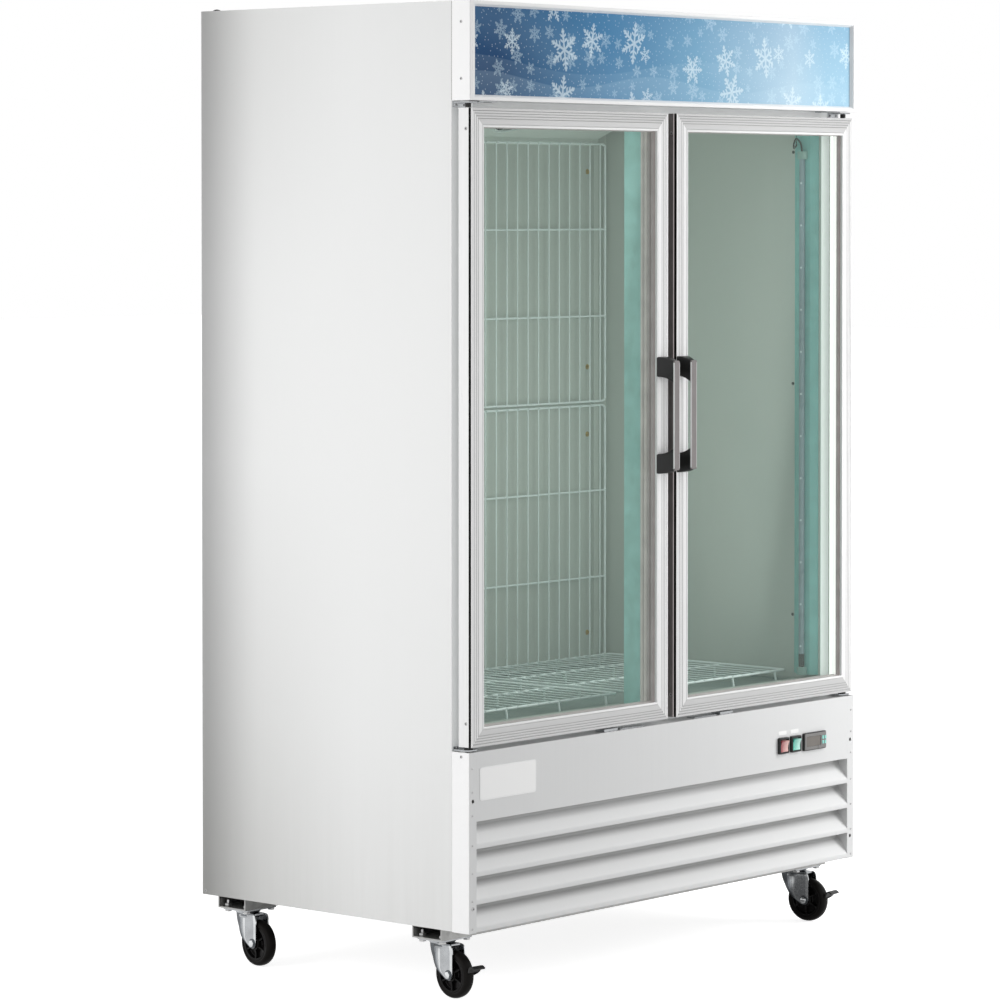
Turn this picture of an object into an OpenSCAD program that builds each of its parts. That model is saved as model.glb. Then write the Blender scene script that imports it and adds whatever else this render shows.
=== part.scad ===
// Two-door glass front ice merchandiser freezer on swivel casters.
// Millimetres, +Z up, front towards -Y. The origin is the middle of the outline, on the floor.
// The modules draw from the front face of the header (y = 0) backwards; placed() moves them to
// the part's own origin.

/* [Cabinet] */
// Overall width of the cabinet
cab_w = 1350; // [1200:10:1500]
// Depth from the header's front face to the back
cab_d = 776; // [740:2:860]
// Height of the top above the floor
cab_h = 2077; // [2000:1:2200]
// Depth of the header, doors and grille ahead of the side panels
trim_d = 50; // [48:1:60]
// Thickness of the outer sheets
sheet_t = 1; // [0.8:0.1:1.4]
// Height of the machine compartment
compartment_h = 349; // [320:1:360]
// Width of the side panels' folded rear edge
rear_fold = 14; // [10:1:20]

/* [Insulated walls] */
// Side wall, from the outside to the liner
side_wall = 63; // [50:1:75]
// Back wall, from the outside to the liner
back_wall = 86; // [60:1:90]
// Roof, from the outside to the liner
roof_wall = 60; // [50:1:75]
// Floor, from the deck to the liner
floor_wall = 55; // [40:1:58]
// Thickness of the liner
liner_t = 1; // [0.8:0.1:1.5]
// Thickness of the frame plate round the door openings
face_t = 2; // [1.5:0.5:3]
// Depth of the throat behind the frame plate
throat_d = 60; // [55:1:80]

/* [Doors] */
// Gap between a door's hinged edge and the cabinet's side
door_side_gap = 8; // [6:1:12]
// Gap between the two doors
door_gap = 30; // [24:1:40]
// Gap between the header and the doors
door_top_gap = 15; // [13:1:20]
// Gap between the front panel and the doors
door_bottom_gap = 10; // [9:1:14]
// Distance of the doors' front behind the header's front
door_inset = 3; // [1:1:5]
// Thickness of a door without its gasket
door_t = 35; // [35:1:37]
// Width of a door frame member
stile_w = 40; // [38:1:46]
// Pitch of the reeds along a frame member's outer part
reed_pitch = 5.5; // [4:0.5:6]
// Depth of the grooves between the reeds
reed_d = 1; // [0.5:0.1:1.5]
// Width of the shadow groove round a door's edge, behind its front
edge_groove_w = 5; // [3:0.5:7]
// Depth of the shadow groove
edge_groove_d = 3; // [1:0.5:4]
// Thickness of one pane of glass
pane_t = 4; // [3:0.5:4]
// Gap between two panes
pane_gap = 7; // [6:0.5:7]
// How far the glass reaches into the frame
glass_bite = 10; // [8:1:12]
// Distance of the glass behind the door's front
glass_inset = 5; // [4.5:0.5:5]
// Width of a door gasket
gasket_w = 16; // [12:1:18]
// Distance of the gasket from the door's edge
gasket_inset = 13; // [13:1:15]
// Distance of the hinge pin from the door's hinged edge
pin_in = 12; // [11:1:12.5]
// Distance of the hinge pin behind the door's front
pin_back = 19; // [17:1:20]
// Radius of a hinge pin
pin_r = 4; // [3:0.5:5]
// Thickness of a hinge bracket
bracket_t = 3; // [2:0.5:3]
// Width of the post between the door openings
mullion_w = 100; // [92:2:120]
// Depth of the post between the door openings
mullion_d = 48; // [40:1:52]

/* [Handles] */
// How far a handle stands ahead of the header's front
handle_proud = 34; // [28:1:45]
// Length of a handle
handle_l = 254; // [200:2:320]
// Height of a handle's middle above the floor
handle_z = 1199; // [1000:1:1400]
// Width of the flat grip
grip_w = 19; // [14:1:24]
// Distance of the grip from the door's free edge
grip_in = 5.5; // [4:0.5:8]
// Thickness of the flat grip
grip_t = 4; // [3:0.5:6]
// Height of a handle's end block
end_h = 43; // [30:1:55]
// Slope drop of an end block's outer edge
end_drop = 8; // [4:1:12]

/* [Header] */
// Height of the header
header_h = 206; // [160:1:240]
// Face width of the sign frame
sign_w = 12; // [8:1:16]
// Distance of the sign behind its frame's front
sign_inset = 8; // [5:1:12]
// Thickness of the sign
sign_t = 3; // [2:0.5:5]
// Distance of the sign lamp's ends from the cabinet's sides
sign_lamp_in = 60; // [50:1:120]
// Wall of the sign frame behind its face
sign_wall = 1.6; // [1:0.1:2.5]

/* [Lower front] */
// Height of the lower front, panel and louvres together
front_h = 375; // [362:1:375]
// Height of the control panel
panel_h = 144; // [120:1:170]
// Thickness of the control panel, blades and uprights
front_t = 1.2; // [1:0.1:1.5]
// Width of an upright at each end of the lower front
upright_w = 23; // [18:1:30]
// Number of louvre blades
blades = 4; // [3:1:5]
// Height of a blade's vertical lip
lip_h = 11; // [8:1:14]
// How far a blade slopes back
blade_run = 26; // [18:1:32]
// How far a blade slopes up
blade_rise = 36; // [26:1:38]

/* [Controls] */
// Middle of the first rocker switch, from the cabinet's side
red_in = 273; // [272:1:340]
// Middle of the second rocker switch, from the cabinet's side
green_in = 227.5; // [223:0.5:232]
// Middle of the controller, from the cabinet's side
ctl_in = 156; // [115:1:160]
// Height of the switches' middle above the lower front's underside
ctl_up = 285; // [278:1:290]
// Width of a switch bezel
sw_w = 36; // [30:1:38]
// Height of a switch bezel
sw_h = 37; // [30:1:38]
// How far a switch bezel stands out
sw_proud = 7; // [4:0.5:9]
// Width of the controller's bezel
ctl_w = 84; // [78:1:86]
// Height of the controller's bezel
ctl_h = 40; // [36:1:42]
// Tilt of a rocker at rest
rocker_tilt = 9; // [5:1:12]
// Travel of a controller button
button_travel = 0.8; // [0.5:0.1:1.2]

/* [Casters] */
// Diameter of a caster wheel
wheel_d = 100; // [90:1:102]
// Width of a caster wheel
wheel_w = 28; // [22:1:30]
// Overall height of a caster
caster_h = 126; // [124:1:136]
// Height of the cross channels that carry the casters
channel_h = 25; // [20:1:32]
// Width of the cross channels
channel_w = 82; // [76:1:90]
// Distance of a swivel from the cabinet's side
caster_in = 59; // [56:1:80]
// Distance of the front swivels behind the header's front
caster_front = 122; // [115:1:150]
// Distance of the rear swivels ahead of the back
caster_rear = 86; // [80:1:110]
// Distance from a swivel to its wheel's axle
trail = 32; // [26:1:36]
// Turn of the front left caster
front_left_turn = -7; // [-20:1:20]
// Turn of the front right caster
front_right_turn = 4; // [-20:1:20]
// Turn of the rear left caster
rear_left_turn = -8; // [-20:1:20]
// Turn of the rear right caster
rear_right_turn = 0; // [-20:1:20]
// Radius of a wheel's axle bolt
axle_r = 4; // [3:0.5:5]
// Thickness of a fork's legs
leg_t = 2.5; // [2:0.1:3]

/* [Inside] */
// Pitch of the wires of the back guards
guard_pitch = 38; // [30:1:50]
// Pitch of the wires of the floor racks
rack_pitch = 35; // [25:1:45]
// Thickness of a thin wire
thin_wire = 3.4; // [3:0.1:4]
// Thickness of a frame wire
thick_wire = 6; // [5:0.5:7]
// Height of the floor racks
rack_h = 30; // [24:1:40]
// Tilt of the evaporator's cover
evap_tilt = 23.5; // [20:0.5:26]
// Height of the evaporator cover's rear edge below the ceiling
evap_drop = 201; // [190:1:215]
// Radius of the evaporator's fan openings
evap_fan_r = 65; // [50:1:75]
// Distance of an evaporator fan from the middle
evap_fan_x = 183; // [160:1:300]
// Width of the corner lamp housings
lamp_w = 67; // [50:1:75]
// How far a lamp housing stands off the wall
lamp_d = 18; // [14:1:24]
// Diameter of a lamp tube
tube_d = 14; // [10:1:16]
// Gap between a lamp housing's top and the top of the door opening
lamp_drop = 47; // [20:1:150]

/* [Condensing unit] */
// Width of the condenser
cond_w = 360; // [300:10:420]
// Height of the condenser
cond_h = 290; // [240:10:300]
// Thickness of the condenser
cond_t = 50; // [40:2:60]
// Radius of the condenser's fan
cond_fan_r = 118; // [90:1:125]
// Radius of the compressor's shell
comp_r = 85; // [70:1:95]
// Height of the compressor's shell
comp_h = 190; // [150:2:220]
// Bore radius of the power cord's gland
gland_r = 4.5; // [3.5:0.5:6]

/* [Hidden] */
$fn = 48;
wire_fn = 14;
thin_fn = 8;
eps = 0.05;
fit = 0.05;
seat = 0.3;
half_w = cab_w / 2;
face_y = handle_proud - (cab_d + handle_proud) / 2;
base_z = caster_h + channel_h;
header_z = cab_h - header_h;
front_top = base_z - 1 + front_h;
front_z = base_z - 1;
deck_z = base_z + compartment_h;
body_y = trim_d;
back_y = cab_d;
skin_x = half_w - sheet_t;
liner_x = half_w - side_wall;
liner_back = cab_d - back_wall;
liner_top = cab_h - roof_wall;
floor_z = deck_z + floor_wall;
throat_y = body_y + face_t + throat_d;

door_x0 = door_gap / 2;
door_x1 = half_w - door_side_gap;
door_z0 = front_top + door_bottom_gap;
door_z1 = header_z - door_top_gap;
door_y0 = door_inset;
door_y1 = door_inset + door_t;
gasket_y = body_y - seat;
sill_z = door_z0 + gasket_inset + gasket_w;
lintel_z = door_z1 - gasket_inset - gasket_w;
pin_x = door_x1 - pin_in;
pin_y = door_y0 + pin_back;
pin_deep = 16;
bracket_low = front_top + 2;
bracket_top = header_z - 2 - bracket_t;
glass_x0 = door_x0 + stile_w - glass_bite;
glass_x1 = door_x1 - stile_w + glass_bite;
glass_z0 = door_z0 + stile_w - glass_bite;
glass_z1 = door_z1 - stile_w + glass_bite;
glass_y = door_y0 + glass_inset;
glass_t = 3 * pane_t + 2 * pane_gap;

end_x0 = door_x0;
end_x1 = door_x0 + stile_w;
grip_x = door_x0 + grip_in;
grip_y = -handle_proud;
end_tip_y = grip_y + grip_t + eps;
handle_top = handle_z + handle_l / 2;
handle_low = handle_z - handle_l / 2;

panel_z = front_top - panel_h;
front_y = 3;
upright_x = skin_x - upright_w;
blade_pitch = (panel_z - front_z) / blades;
cover_x = half_w - sheet_t;

red_x = half_w - red_in;
green_x = half_w - green_in;
ctl_x = half_w - ctl_in;
ctl_z = front_z + ctl_up;
ctl_front = front_y - sw_proud;
button_w = 6;
button_h = 8;
button_x = ctl_x + ctl_w / 2 - 14;

wheel_r = wheel_d / 2;
caster_x = half_w - caster_in;
caster_y0 = caster_front;
caster_y1 = cab_d - caster_rear;
plate_t = 4;
plate_z = caster_h - plate_t;
race_h = 8;
crown_top = plate_z - race_h - seat;
crown_t = 4;
leg_gap = wheel_w / 2 + 2;
pedal_hub = 4;
plate_x = 96;
plate_y = 74;
bolt_dx = 38;
bolt_dy = 28;
bolt_r = 4;
channel_t = 3;
channel_x = skin_x - 2;

guard_y = liner_back - 12;
guard_z0 = floor_z + 6;
rack_z = floor_z + rack_h;
rack_x0 = 18;
rack_x1 = liner_x - 12;
rack_y0 = throat_y + 30;
rack_y1 = liner_back - 26;
evap_z = liner_top - evap_drop;
guard_z1 = evap_z - 10;
evap_x = liner_x - 32;
evap_t = 1.2;
evap_front = liner_back - evap_drop / tan(evap_tilt);
evap_lip = 17;
coil_d = 100;
coil_h = 66;
coil_y = liner_back - 252;
coil_z = liner_top - coil_h - 12;
evap_fan_y = liner_back - 34 - evap_fan_r * cos(evap_tilt);
evap_fan_z = evap_z + (liner_back - evap_fan_y) * tan(evap_tilt);
lamp_y0 = body_y + face_t + 6;
lamp_y1 = lamp_y0 + lamp_w;
tube_y = lamp_y0 + lamp_w * 0.42;
tube_x = liner_x - lamp_d - tube_d / 2 - eps;
lamp_z0 = sill_z + 10;
lamp_z1 = lintel_z - lamp_drop;
lamp_cap = 18;

pan_z = base_z;
pan_t = 1.5;
unit_z = pan_z + pan_t + eps;
cond_x = 245 - half_w;
cond_y = body_y + 40;
cond_z = unit_z + 14;
shroud_y = cond_y + cond_t + eps;
cond_mid_x = cond_x + cond_w / 2;
cond_mid_z = cond_z + cond_h / 2;
comp_x = half_w - 445;
comp_y = 420;
comp_z = unit_z + 22;
pipe_r = 5;
riser_x = 40;
shroud_d = 42;
shaft_r = 4;
weld = 0.5;
riser_y = back_y - back_wall / 2;
gland_x = half_w - 115;
gland_z = base_z + 130;
gland_out = 9;
gland_l = 30;
box_x = half_w - 255;
box_y = 600;

cap_screw_z = [header_z + 45, header_z + 162];
corner_screw_z = front_top - 9;
rivet_up = [for (i = [0:2]) panel_z + 13 + 49 * i];
rivet_low = [for (i = [0:blades - 1]) front_z + blade_pitch * i + lip_h - 2];
hole_z = [front_z + 51, panel_z + 43];

// ---------------------------------------------------------------- helpers

module placed() translate([0, face_y, 0]) children();

module both_sides() {
    children();
    mirror([1, 0, 0]) children();
}

module slab(x0, x1, y0, y1, z0, z1) {
    translate([x0, y0, z0]) cube([x1 - x0, y1 - y0, z1 - z0]);
}

// A rectangular frame in the XZ plane, w wide
module ring(x0, x1, y0, y1, z0, z1, w) {
    difference() {
        slab(x0, x1, y0, y1, z0, z1);
        slab(x0 + w, x1 - w, y0 - 1, y1 + 1, z0 + w, z1 - w);
    }
}

// A round bar from p to q
module rod(p, q, r) {
    d = q - p;
    translate(p)
        rotate([0, acos(d[2] / norm(d)), atan2(d[1], d[0])])
            cylinder(h = norm(d), r = r);
}

// A round bar along Y, from y0 back to y1
module bar_y(x, z, y0, y1, r) {
    translate([x, y0, z]) rotate([-90, 0, 0]) cylinder(h = y1 - y0, r = r);
}

// A round bar along X
module bar_x(x0, x1, y, z, r) {
    translate([x0, y, z]) rotate([0, 90, 0]) cylinder(h = x1 - x0, r = r);
}

// A pan head screw driven along +Y: its head stands ahead of y, its shank behind
module screw_y(x, z, y, r = 3.6, shank = 6) {
    bar_y(x, z, y - 1.8, y - eps, r);
    bar_y(x, z, y - eps - 0.5, y + shank, r * 0.5);
}

// The shank's hole for screw_y
module screw_hole_y(x, z, y, r = 3.6, shank = 6) {
    bar_y(x, z, y - 1, y + shank + 1, r * 0.5 + eps);
}

// ---------------------------------------------------------------- cabinet

module side_panel() {
    color("white") {
        difference() {
            slab(skin_x, half_w, body_y, back_y, base_z, cab_h);
            for (y = [caster_y0, caster_y1])
                bar_x(skin_x - 1, half_w + 1, y, base_z + 14, 3);
        }
        slab(skin_x - rear_fold, skin_x, back_y - sheet_t, back_y, base_z, cab_h);
    }
}

module left_side_panel() placed() mirror([1, 0, 0]) side_panel();
module right_side_panel() placed() side_panel();

module back_panel() {
    slot_l = 110;
    slot_h = 6;
    slot_x = half_w - 195;
    slot_z = base_z + 190;
    placed() color("gainsboro") difference() {
        slab(-skin_x + rear_fold, skin_x - rear_fold, back_y - sheet_t, back_y, base_z, cab_h);
        for (i = [-3:3], j = [0:6])
            translate([i * slot_x / 3 - slot_l / 2, back_y - 5, slot_z + j * 22])
                cube([slot_l, 10, slot_h]);
        bar_y(gland_x, gland_z, back_y - 5, back_y + 5, gland_out);
    }
}

module top_panel() {
    placed() color("white")
        slab(-skin_x, skin_x, body_y, back_y - sheet_t, cab_h - sheet_t, cab_h);
}

module cross_channel(y) {
    difference() {
        slab(-channel_x, channel_x, y - channel_w / 2, y + channel_w / 2, caster_h, base_z);
        slab(-channel_x - 1, channel_x + 1, y - channel_w / 2 + channel_t,
             y + channel_w / 2 - channel_t, caster_h + channel_t, base_z + 1);
        for (x = [-caster_x, caster_x])
            caster_bolts(x, y) cylinder(h = channel_h, r = bolt_r + eps, center = true);
    }
}

module caster_bolts(x, y) {
    for (i = [-1, 1], j = [-1, 1])
        translate([x + i * bolt_dx, y + j * bolt_dy, caster_h]) children();
}

module base_frame() {
    placed() color("silver") {
        difference() {
            slab(-skin_x, skin_x, body_y, back_y - sheet_t, pan_z, pan_z + pan_t);
            for (x = [-caster_x, caster_x], y = [caster_y0, caster_y1])
                caster_bolts(x, y) cylinder(h = 3 * channel_h, r = bolt_r + 5, center = true);
        }
        cross_channel(caster_y0);
        cross_channel(caster_y1);
    }
}

// The storage space, grown outwards by g, and lead ahead of the frame plate's rear face
module storage_space(g, lead) {
    slab(-liner_x - g, liner_x + g, throat_y - g, liner_back + g, floor_z - g, liner_top + g);
    slab(-liner_x - g, liner_x + g, body_y + face_t - lead, throat_y + 1, sill_z - g, lintel_z + g);
}

module foam_insulation() {
    placed() color("khaki") difference() {
        slab(-skin_x, skin_x, body_y + face_t, back_y - sheet_t, deck_z, cab_h - sheet_t);
        storage_space(liner_t, 1);
        riser_holes(pipe_r + 1.5);
    }
}

module inner_liner() {
    placed() color("white") difference() {
        storage_space(liner_t, 0);
        storage_space(0, 1);
        riser_holes(pipe_r + 1.5);
    }
}

module face_frame() {
    placed() color("whitesmoke") difference() {
        slab(-skin_x, skin_x, body_y, body_y + face_t, deck_z, cab_h - sheet_t);
        slab(-liner_x, liner_x, body_y - 1, body_y + face_t + 1, sill_z, lintel_z);
        bracket_screws() screw_hole_y(0, 0, body_y - bracket_t, 2.3, 5);
    }
}

module center_mullion() {
    placed() color("gainsboro")
        slab(-mullion_w / 2, mullion_w / 2, body_y, body_y + mullion_d, sill_z, lintel_z);
}

// ---------------------------------------------------------------- header

module sign_frame() {
    placed() color("white") difference() {
        slab(-cover_x, cover_x, 0, trim_d, header_z, cab_h);
        slab(-cover_x + sign_w, cover_x - sign_w, -1, trim_d + 1, header_z + sign_w, cab_h - sign_w);
        slab(-cover_x + sign_wall, cover_x - sign_wall, sign_inset, trim_d + 1,
             header_z + sign_wall, cab_h - sign_wall);
        both_sides() for (z = cap_screw_z) bar_x(cover_x - 8, cover_x + 1, 24, z, 1.8 + eps);
    }
}

module sign_panel() {
    edge = 4;
    placed() color("steelblue")
        slab(-cover_x + edge, cover_x - edge, sign_inset + eps, sign_inset + sign_t,
             header_z + edge, cab_h - edge);
}

// The thin covers over the ends of the header and of the lower front
module trim_covers() {
    placed() color("white") both_sides() {
        difference() {
            slab(cover_x + eps, half_w, 0.5, trim_d - 0.5, header_z, cab_h);
            for (z = cap_screw_z) bar_x(cover_x - 1, half_w + 1, 24, z, 1.8 + eps);
        }
        difference() {
            slab(cover_x + eps, half_w, front_y, trim_d - 0.5, front_z, front_top);
            bar_x(cover_x - 1, half_w + 1, 24, corner_screw_z, 1.8 + eps);
        }
    }
}

// ---------------------------------------------------------------- lower front

module control_panel() {
    placed() color("whitesmoke") difference() {
        union() {
            slab(-upright_x, upright_x, front_y, front_y + front_t, panel_z, front_top);
            slab(-upright_x, upright_x, front_y, trim_d - eps, front_top - front_t, front_top);
            slab(-upright_x, upright_x, front_y, front_y + 18, panel_z, panel_z + front_t);
        }
        for (x = [red_x, green_x])
            slab(x - sw_w / 2 + 2, x + sw_w / 2 - 2, front_y - 1, front_y + 5,
                 ctl_z - sw_h / 2 + 2, ctl_z + sw_h / 2 - 2);
        slab(ctl_x - ctl_w / 2 + 3, ctl_x + ctl_w / 2 - 3, front_y - 1, front_y + 5,
             ctl_z - ctl_h / 2 + 3, ctl_z + ctl_h / 2 - 3);
    }
}

// One blade: a vertical lip, a slope up and back from it, and a fold under the lip
module blade() {
    fold = 9;
    rotate([90, 0, 90])
        linear_extrude(height = 2 * upright_x, center = true)
            polygon([
                [0, 0], [0, lip_h], [blade_run, lip_h + blade_rise],
                [blade_run + front_t, lip_h + blade_rise - front_t], [front_t, lip_h - front_t / 2],
                [front_t, front_t], [fold, front_t], [fold, 0]
            ]);
}

module louvre_blades() {
    placed() color("whitesmoke")
        for (i = [0:blades - 1])
            translate([0, front_y, front_z + i * blade_pitch]) blade();
}

module grille_uprights() {
    web = 30;
    placed() color("whitesmoke") both_sides() difference() {
        union() {
            slab(upright_x + eps, skin_x - eps, front_y, front_y + front_t, front_z, front_top);
            slab(upright_x + eps, upright_x + front_t, front_y, front_y + web, front_z, front_top);
            slab(skin_x - front_t, skin_x - eps, front_y, trim_d - eps, front_z, front_top);
        }
        for (z = hole_z) bar_y(skin_x - 12, z, front_y - 1, front_y + 3, 4);
        for (z = concat(rivet_up, rivet_low)) screw_hole_y(skin_x - 10, z, front_y, 2.2, 3);
        bar_x(skin_x - 3, skin_x + 1, 24, corner_screw_z, 1.8 + eps);
    }
}

// ---------------------------------------------------------------- doors (drawn on the right)

module door_frame() {
    color("silver") difference() {
        union() {
            slab(door_x0, door_x1, door_y0, door_y1, door_z0, door_z1);
            for (z = [door_z0 + 49, door_z1 - 43])
                bar_x(door_x0 - 1, door_x1 + 1, door_y0 + 15, z, 4);
        }
        difference() {
            slab(door_x0 - 2, door_x1 + 2, door_y0 + 1, door_y0 + 1 + edge_groove_w,
                 door_z0 - 2, door_z1 + 2);
            slab(door_x0 + edge_groove_d, door_x1 - edge_groove_d, door_y0, door_y1,
                 door_z0 + edge_groove_d, door_z1 - edge_groove_d);
        }
        for (i = [1:4])
            let (in = i * reed_pitch)
                ring(door_x0 + in, door_x1 - in, door_y0 - 1, door_y0 + reed_d,
                     door_z0 + in, door_z1 - in, 1.4);
        slab(door_x0 + stile_w, door_x1 - stile_w, door_y0 - 1, door_y1 + 1,
             door_z0 + stile_w, door_z1 - stile_w);
        slab(glass_x0, glass_x1, glass_y, glass_y + glass_t, glass_z0, glass_z1);
        for (z = [door_z0 - 1, door_z1 - pin_deep])
            translate([pin_x, pin_y, z]) cylinder(h = pin_deep + 1, r = pin_r + fit);
    }
}

module door_glass() {
    spacer = 8;
    color("lightcyan", 0.4)
        for (i = [0:2])
            slab(glass_x0 + eps, glass_x1 - eps, glass_y + eps + i * (pane_t + pane_gap),
                 glass_y + pane_t + i * (pane_t + pane_gap) - eps, glass_z0 + eps, glass_z1 - eps);
    color("silver")
        for (i = [0:1])
            ring(glass_x0 + 1, glass_x1 - 1, glass_y + pane_t + i * (pane_t + pane_gap) + eps,
                 glass_y + (i + 1) * (pane_t + pane_gap) - eps, glass_z0 + 1, glass_z1 - 1, spacer);
}

module door_gasket() {
    a = gasket_inset;
    b = gasket_inset + 3;
    color("dimgray") {
        ring(door_x0 + a, door_x1 - a, door_y1 + eps, door_y1 + 4, door_z0 + a, door_z1 - a, gasket_w);
        ring(door_x0 + b, door_x1 - b, door_y1 + 3, gasket_y, door_z0 + b, door_z1 - b, gasket_w - 6);
    }
}

// Seen from above: the end block narrows from the full stile to the grip
function end_plan() = concat(
    [[end_x0, door_y0 - eps], [end_x1, door_y0 - eps]],
    [for (t = [1:5]) let (s = t / 5)
        [end_x1 + (grip_x + grip_w - 2 - end_x1) * pow(s, 0.75), door_y0 + (end_tip_y - door_y0) * s]],
    [for (t = [5:-1:1]) let (s = t / 5)
        [end_x0 + (grip_x + 2 - end_x0) * pow(s, 0.75), door_y0 + (end_tip_y - door_y0) * s]]
);

// Seen from the side: the block drops and deepens towards the grip
function end_side() = concat(
    [for (t = [0:5]) let (s = t / 5)
        [door_y0 + (end_tip_y - door_y0) * s, handle_top - end_drop * pow(s, 2)]],
    [for (t = [5:-1:0]) let (s = t / 5)
        [door_y0 + (end_tip_y - door_y0) * s, handle_top - end_h - 13 * pow(s, 2)]]
);

module handle_end() {
    intersection() {
        translate([0, 0, handle_top - 2 * end_h])
            linear_extrude(height = 2 * end_h) polygon(end_plan());
        rotate([90, 0, 90]) linear_extrude(height = end_x1 + 5) polygon(end_side());
    }
}

module handle_ends() {
    color("black") {
        handle_end();
        translate([0, 0, 2 * handle_z]) mirror([0, 0, 1]) handle_end();
    }
}

module handle_grip() {
    color("rosybrown")
        slab(grip_x, grip_x + grip_w, grip_y, grip_y + grip_t,
             handle_low + end_drop, handle_top - end_drop);
}

module left_door_frame() placed() mirror([1, 0, 0]) door_frame();
module left_door_glass() placed() mirror([1, 0, 0]) door_glass();
module left_door_gasket() placed() mirror([1, 0, 0]) door_gasket();
module left_handle_grip() placed() mirror([1, 0, 0]) handle_grip();
module left_handle_ends() placed() mirror([1, 0, 0]) handle_ends();
module right_door_frame() placed() door_frame();
module right_door_glass() placed() door_glass();
module right_door_gasket() placed() door_gasket();
module right_handle_grip() placed() handle_grip();
module right_handle_ends() placed() handle_ends();

// Hinge brackets with their pins, and the glides under the doors' free ends
module bracket_screws() {
    for (s = [-1, 1], x = [pin_x - 16, pin_x + 8], z = [bracket_low + 5.6, bracket_top - 4])
        translate([s * x, 0, z]) children();
}

module door_hardware() {
    x0 = pin_x - 22;
    x1 = half_w - 3;
    placed() color("silver") {
        both_sides() {
            slab(x0, x1, 8, trim_d - eps, bracket_low, bracket_low + bracket_t);
            slab(x0, x1, 8, trim_d - eps, bracket_top, bracket_top + bracket_t);
            translate([pin_x, pin_y, bracket_low])
                cylinder(h = door_z0 + pin_deep - 2 - bracket_low, r = pin_r);
            translate([pin_x, pin_y, bracket_low])
                cylinder(h = door_z0 - seat - bracket_low, r = pin_r + 5);
            translate([pin_x, pin_y, door_z1 - pin_deep + 2])
                cylinder(h = bracket_top + 1 - door_z1 + pin_deep - 2, r = pin_r);
            slab(90, 170, 10, 34, front_top + eps, front_top + 2.5);
            slab(180, 226, 8, 36, front_top + eps, front_top + 6);
        }
        both_sides() difference() {
            union() {
                slab(x0, x1, trim_d - bracket_t, trim_d - eps, bracket_low, bracket_low + 8);
                slab(x0, x1, trim_d - bracket_t, trim_d - eps, bracket_top - 9, bracket_top + 1);
            }
            bracket_screws() screw_hole_y(0, 0, body_y - bracket_t, 2.3, 5);
        }
    }
}

// ---------------------------------------------------------------- inside the cabinet

module lamp_channels() {
    placed() color("paleturquoise") both_sides()
        translate([liner_x, 0, lamp_z0])
            linear_extrude(height = lamp_z1 - lamp_z0)
                polygon([
                    [-eps, lamp_y0], [-2, lamp_y0], [-lamp_d, lamp_y0 + 10],
                    [-lamp_d, lamp_y1 - 20], [-2, lamp_y1 - 12], [-2, lamp_y1], [-eps, lamp_y1]
                ]);
}

// Two tubes in the cabinet, and one behind the sign between its two holders
module lamp_tubes() {
    sign_lamp_z = (header_z + cab_h) / 2;
    holder = 16;
    end = half_w - sign_lamp_in;
    placed() color("white") {
        both_sides() translate([tube_x, tube_y, lamp_z0 + lamp_cap])
            cylinder(h = lamp_z1 - lamp_z0 - 2 * lamp_cap, r = tube_d / 2);
        bar_x(-end, end, trim_d - 14, sign_lamp_z, 11);
        both_sides() slab(end + eps, end + holder, trim_d - 30, trim_d - eps,
                          sign_lamp_z - holder, sign_lamp_z + holder);
    }
}

// One guard panel in the XZ plane, in front of the back wall
module guard_panel(x0, x1, z0, z1) {
    r = thick_wire / 2;
    n = floor((x1 - x0) / guard_pitch);
    first = x1 - guard_pitch * 0.65;
    bar_x(x0, x1, guard_y, z0 + r, r);
    bar_x(x0, x1, guard_y, z1 - r, r);
    for (x = [x0 + r + 1, x1 - r - 1])
        translate([x, guard_y, z0 + r]) cylinder(h = z1 - z0 - 2 * r, r = r - 0.2);
    for (k = [1 / 3, 2 / 3]) bar_x(x0, x1, guard_y, z0 + (z1 - z0) * k, r - 0.5);
    for (i = [0:n - 1])
        translate([first - i * guard_pitch, guard_y - r + weld, z0 + r])
            cylinder(h = z1 - z0 - 2 * r, r = thin_wire / 2);
}

module wire_guards($fn = thin_fn) {
    middle = (guard_z0 + guard_z1) / 2;
    placed() color("white") both_sides() {
        guard_panel(15, liner_x - 16, guard_z0, middle - 2);
        guard_panel(15, liner_x - 16, middle + 2, guard_z1);
        for (x = [34, liner_x - 57])
            slab(x, x + 23, guard_y + thick_wire / 2 + eps, liner_back - eps, guard_z0,
                 evap_z - evap_lip - seat);
    }
}

// One floor rack: cross bars on legs, with thin wires lying on them
module floor_rack() {
    r = thick_wire / 2;
    top = rack_z - thin_wire / 2 - r + weld;
    n = floor((rack_x1 - rack_x0 - 10) / rack_pitch);
    step = (rack_y1 - rack_y0) / 3;
    for (i = [0:3]) {
        bar_x(rack_x0, rack_x1, rack_y0 + i * step, top, r);
        for (k = [0.075, 0.35, 0.65, 0.925])
            let (x = rack_x0 + (rack_x1 - rack_x0) * k)
                translate([x, rack_y0 + i * step, floor_z + eps])
                    cylinder(h = top - floor_z, r = r - 0.6);
    }
    for (x = [rack_x0 + r + 1, rack_x1 - r - 1]) bar_y(x, top, rack_y0 - 1, rack_y1 + 1, r - 0.4);
    for (i = [1:n])
        bar_y(rack_x0 - 8 + i * rack_pitch, rack_z - thin_wire / 2, rack_y0 - 4, rack_y1 + 4,
              thin_wire / 2, $fn = thin_fn);
}

module floor_racks($fn = wire_fn) placed() color("white") both_sides() floor_rack();

// ---------------------------------------------------------------- cooling, in the roof

module evap_profile(t) {
    polygon([
        [liner_back - eps, evap_z - evap_lip], [liner_back - eps, evap_z],
        [evap_front, liner_top - eps], [evap_front - t * 2, liner_top - eps],
        [liner_back - t, evap_z - t], [liner_back - t, evap_z - evap_lip]
    ]);
}

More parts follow.
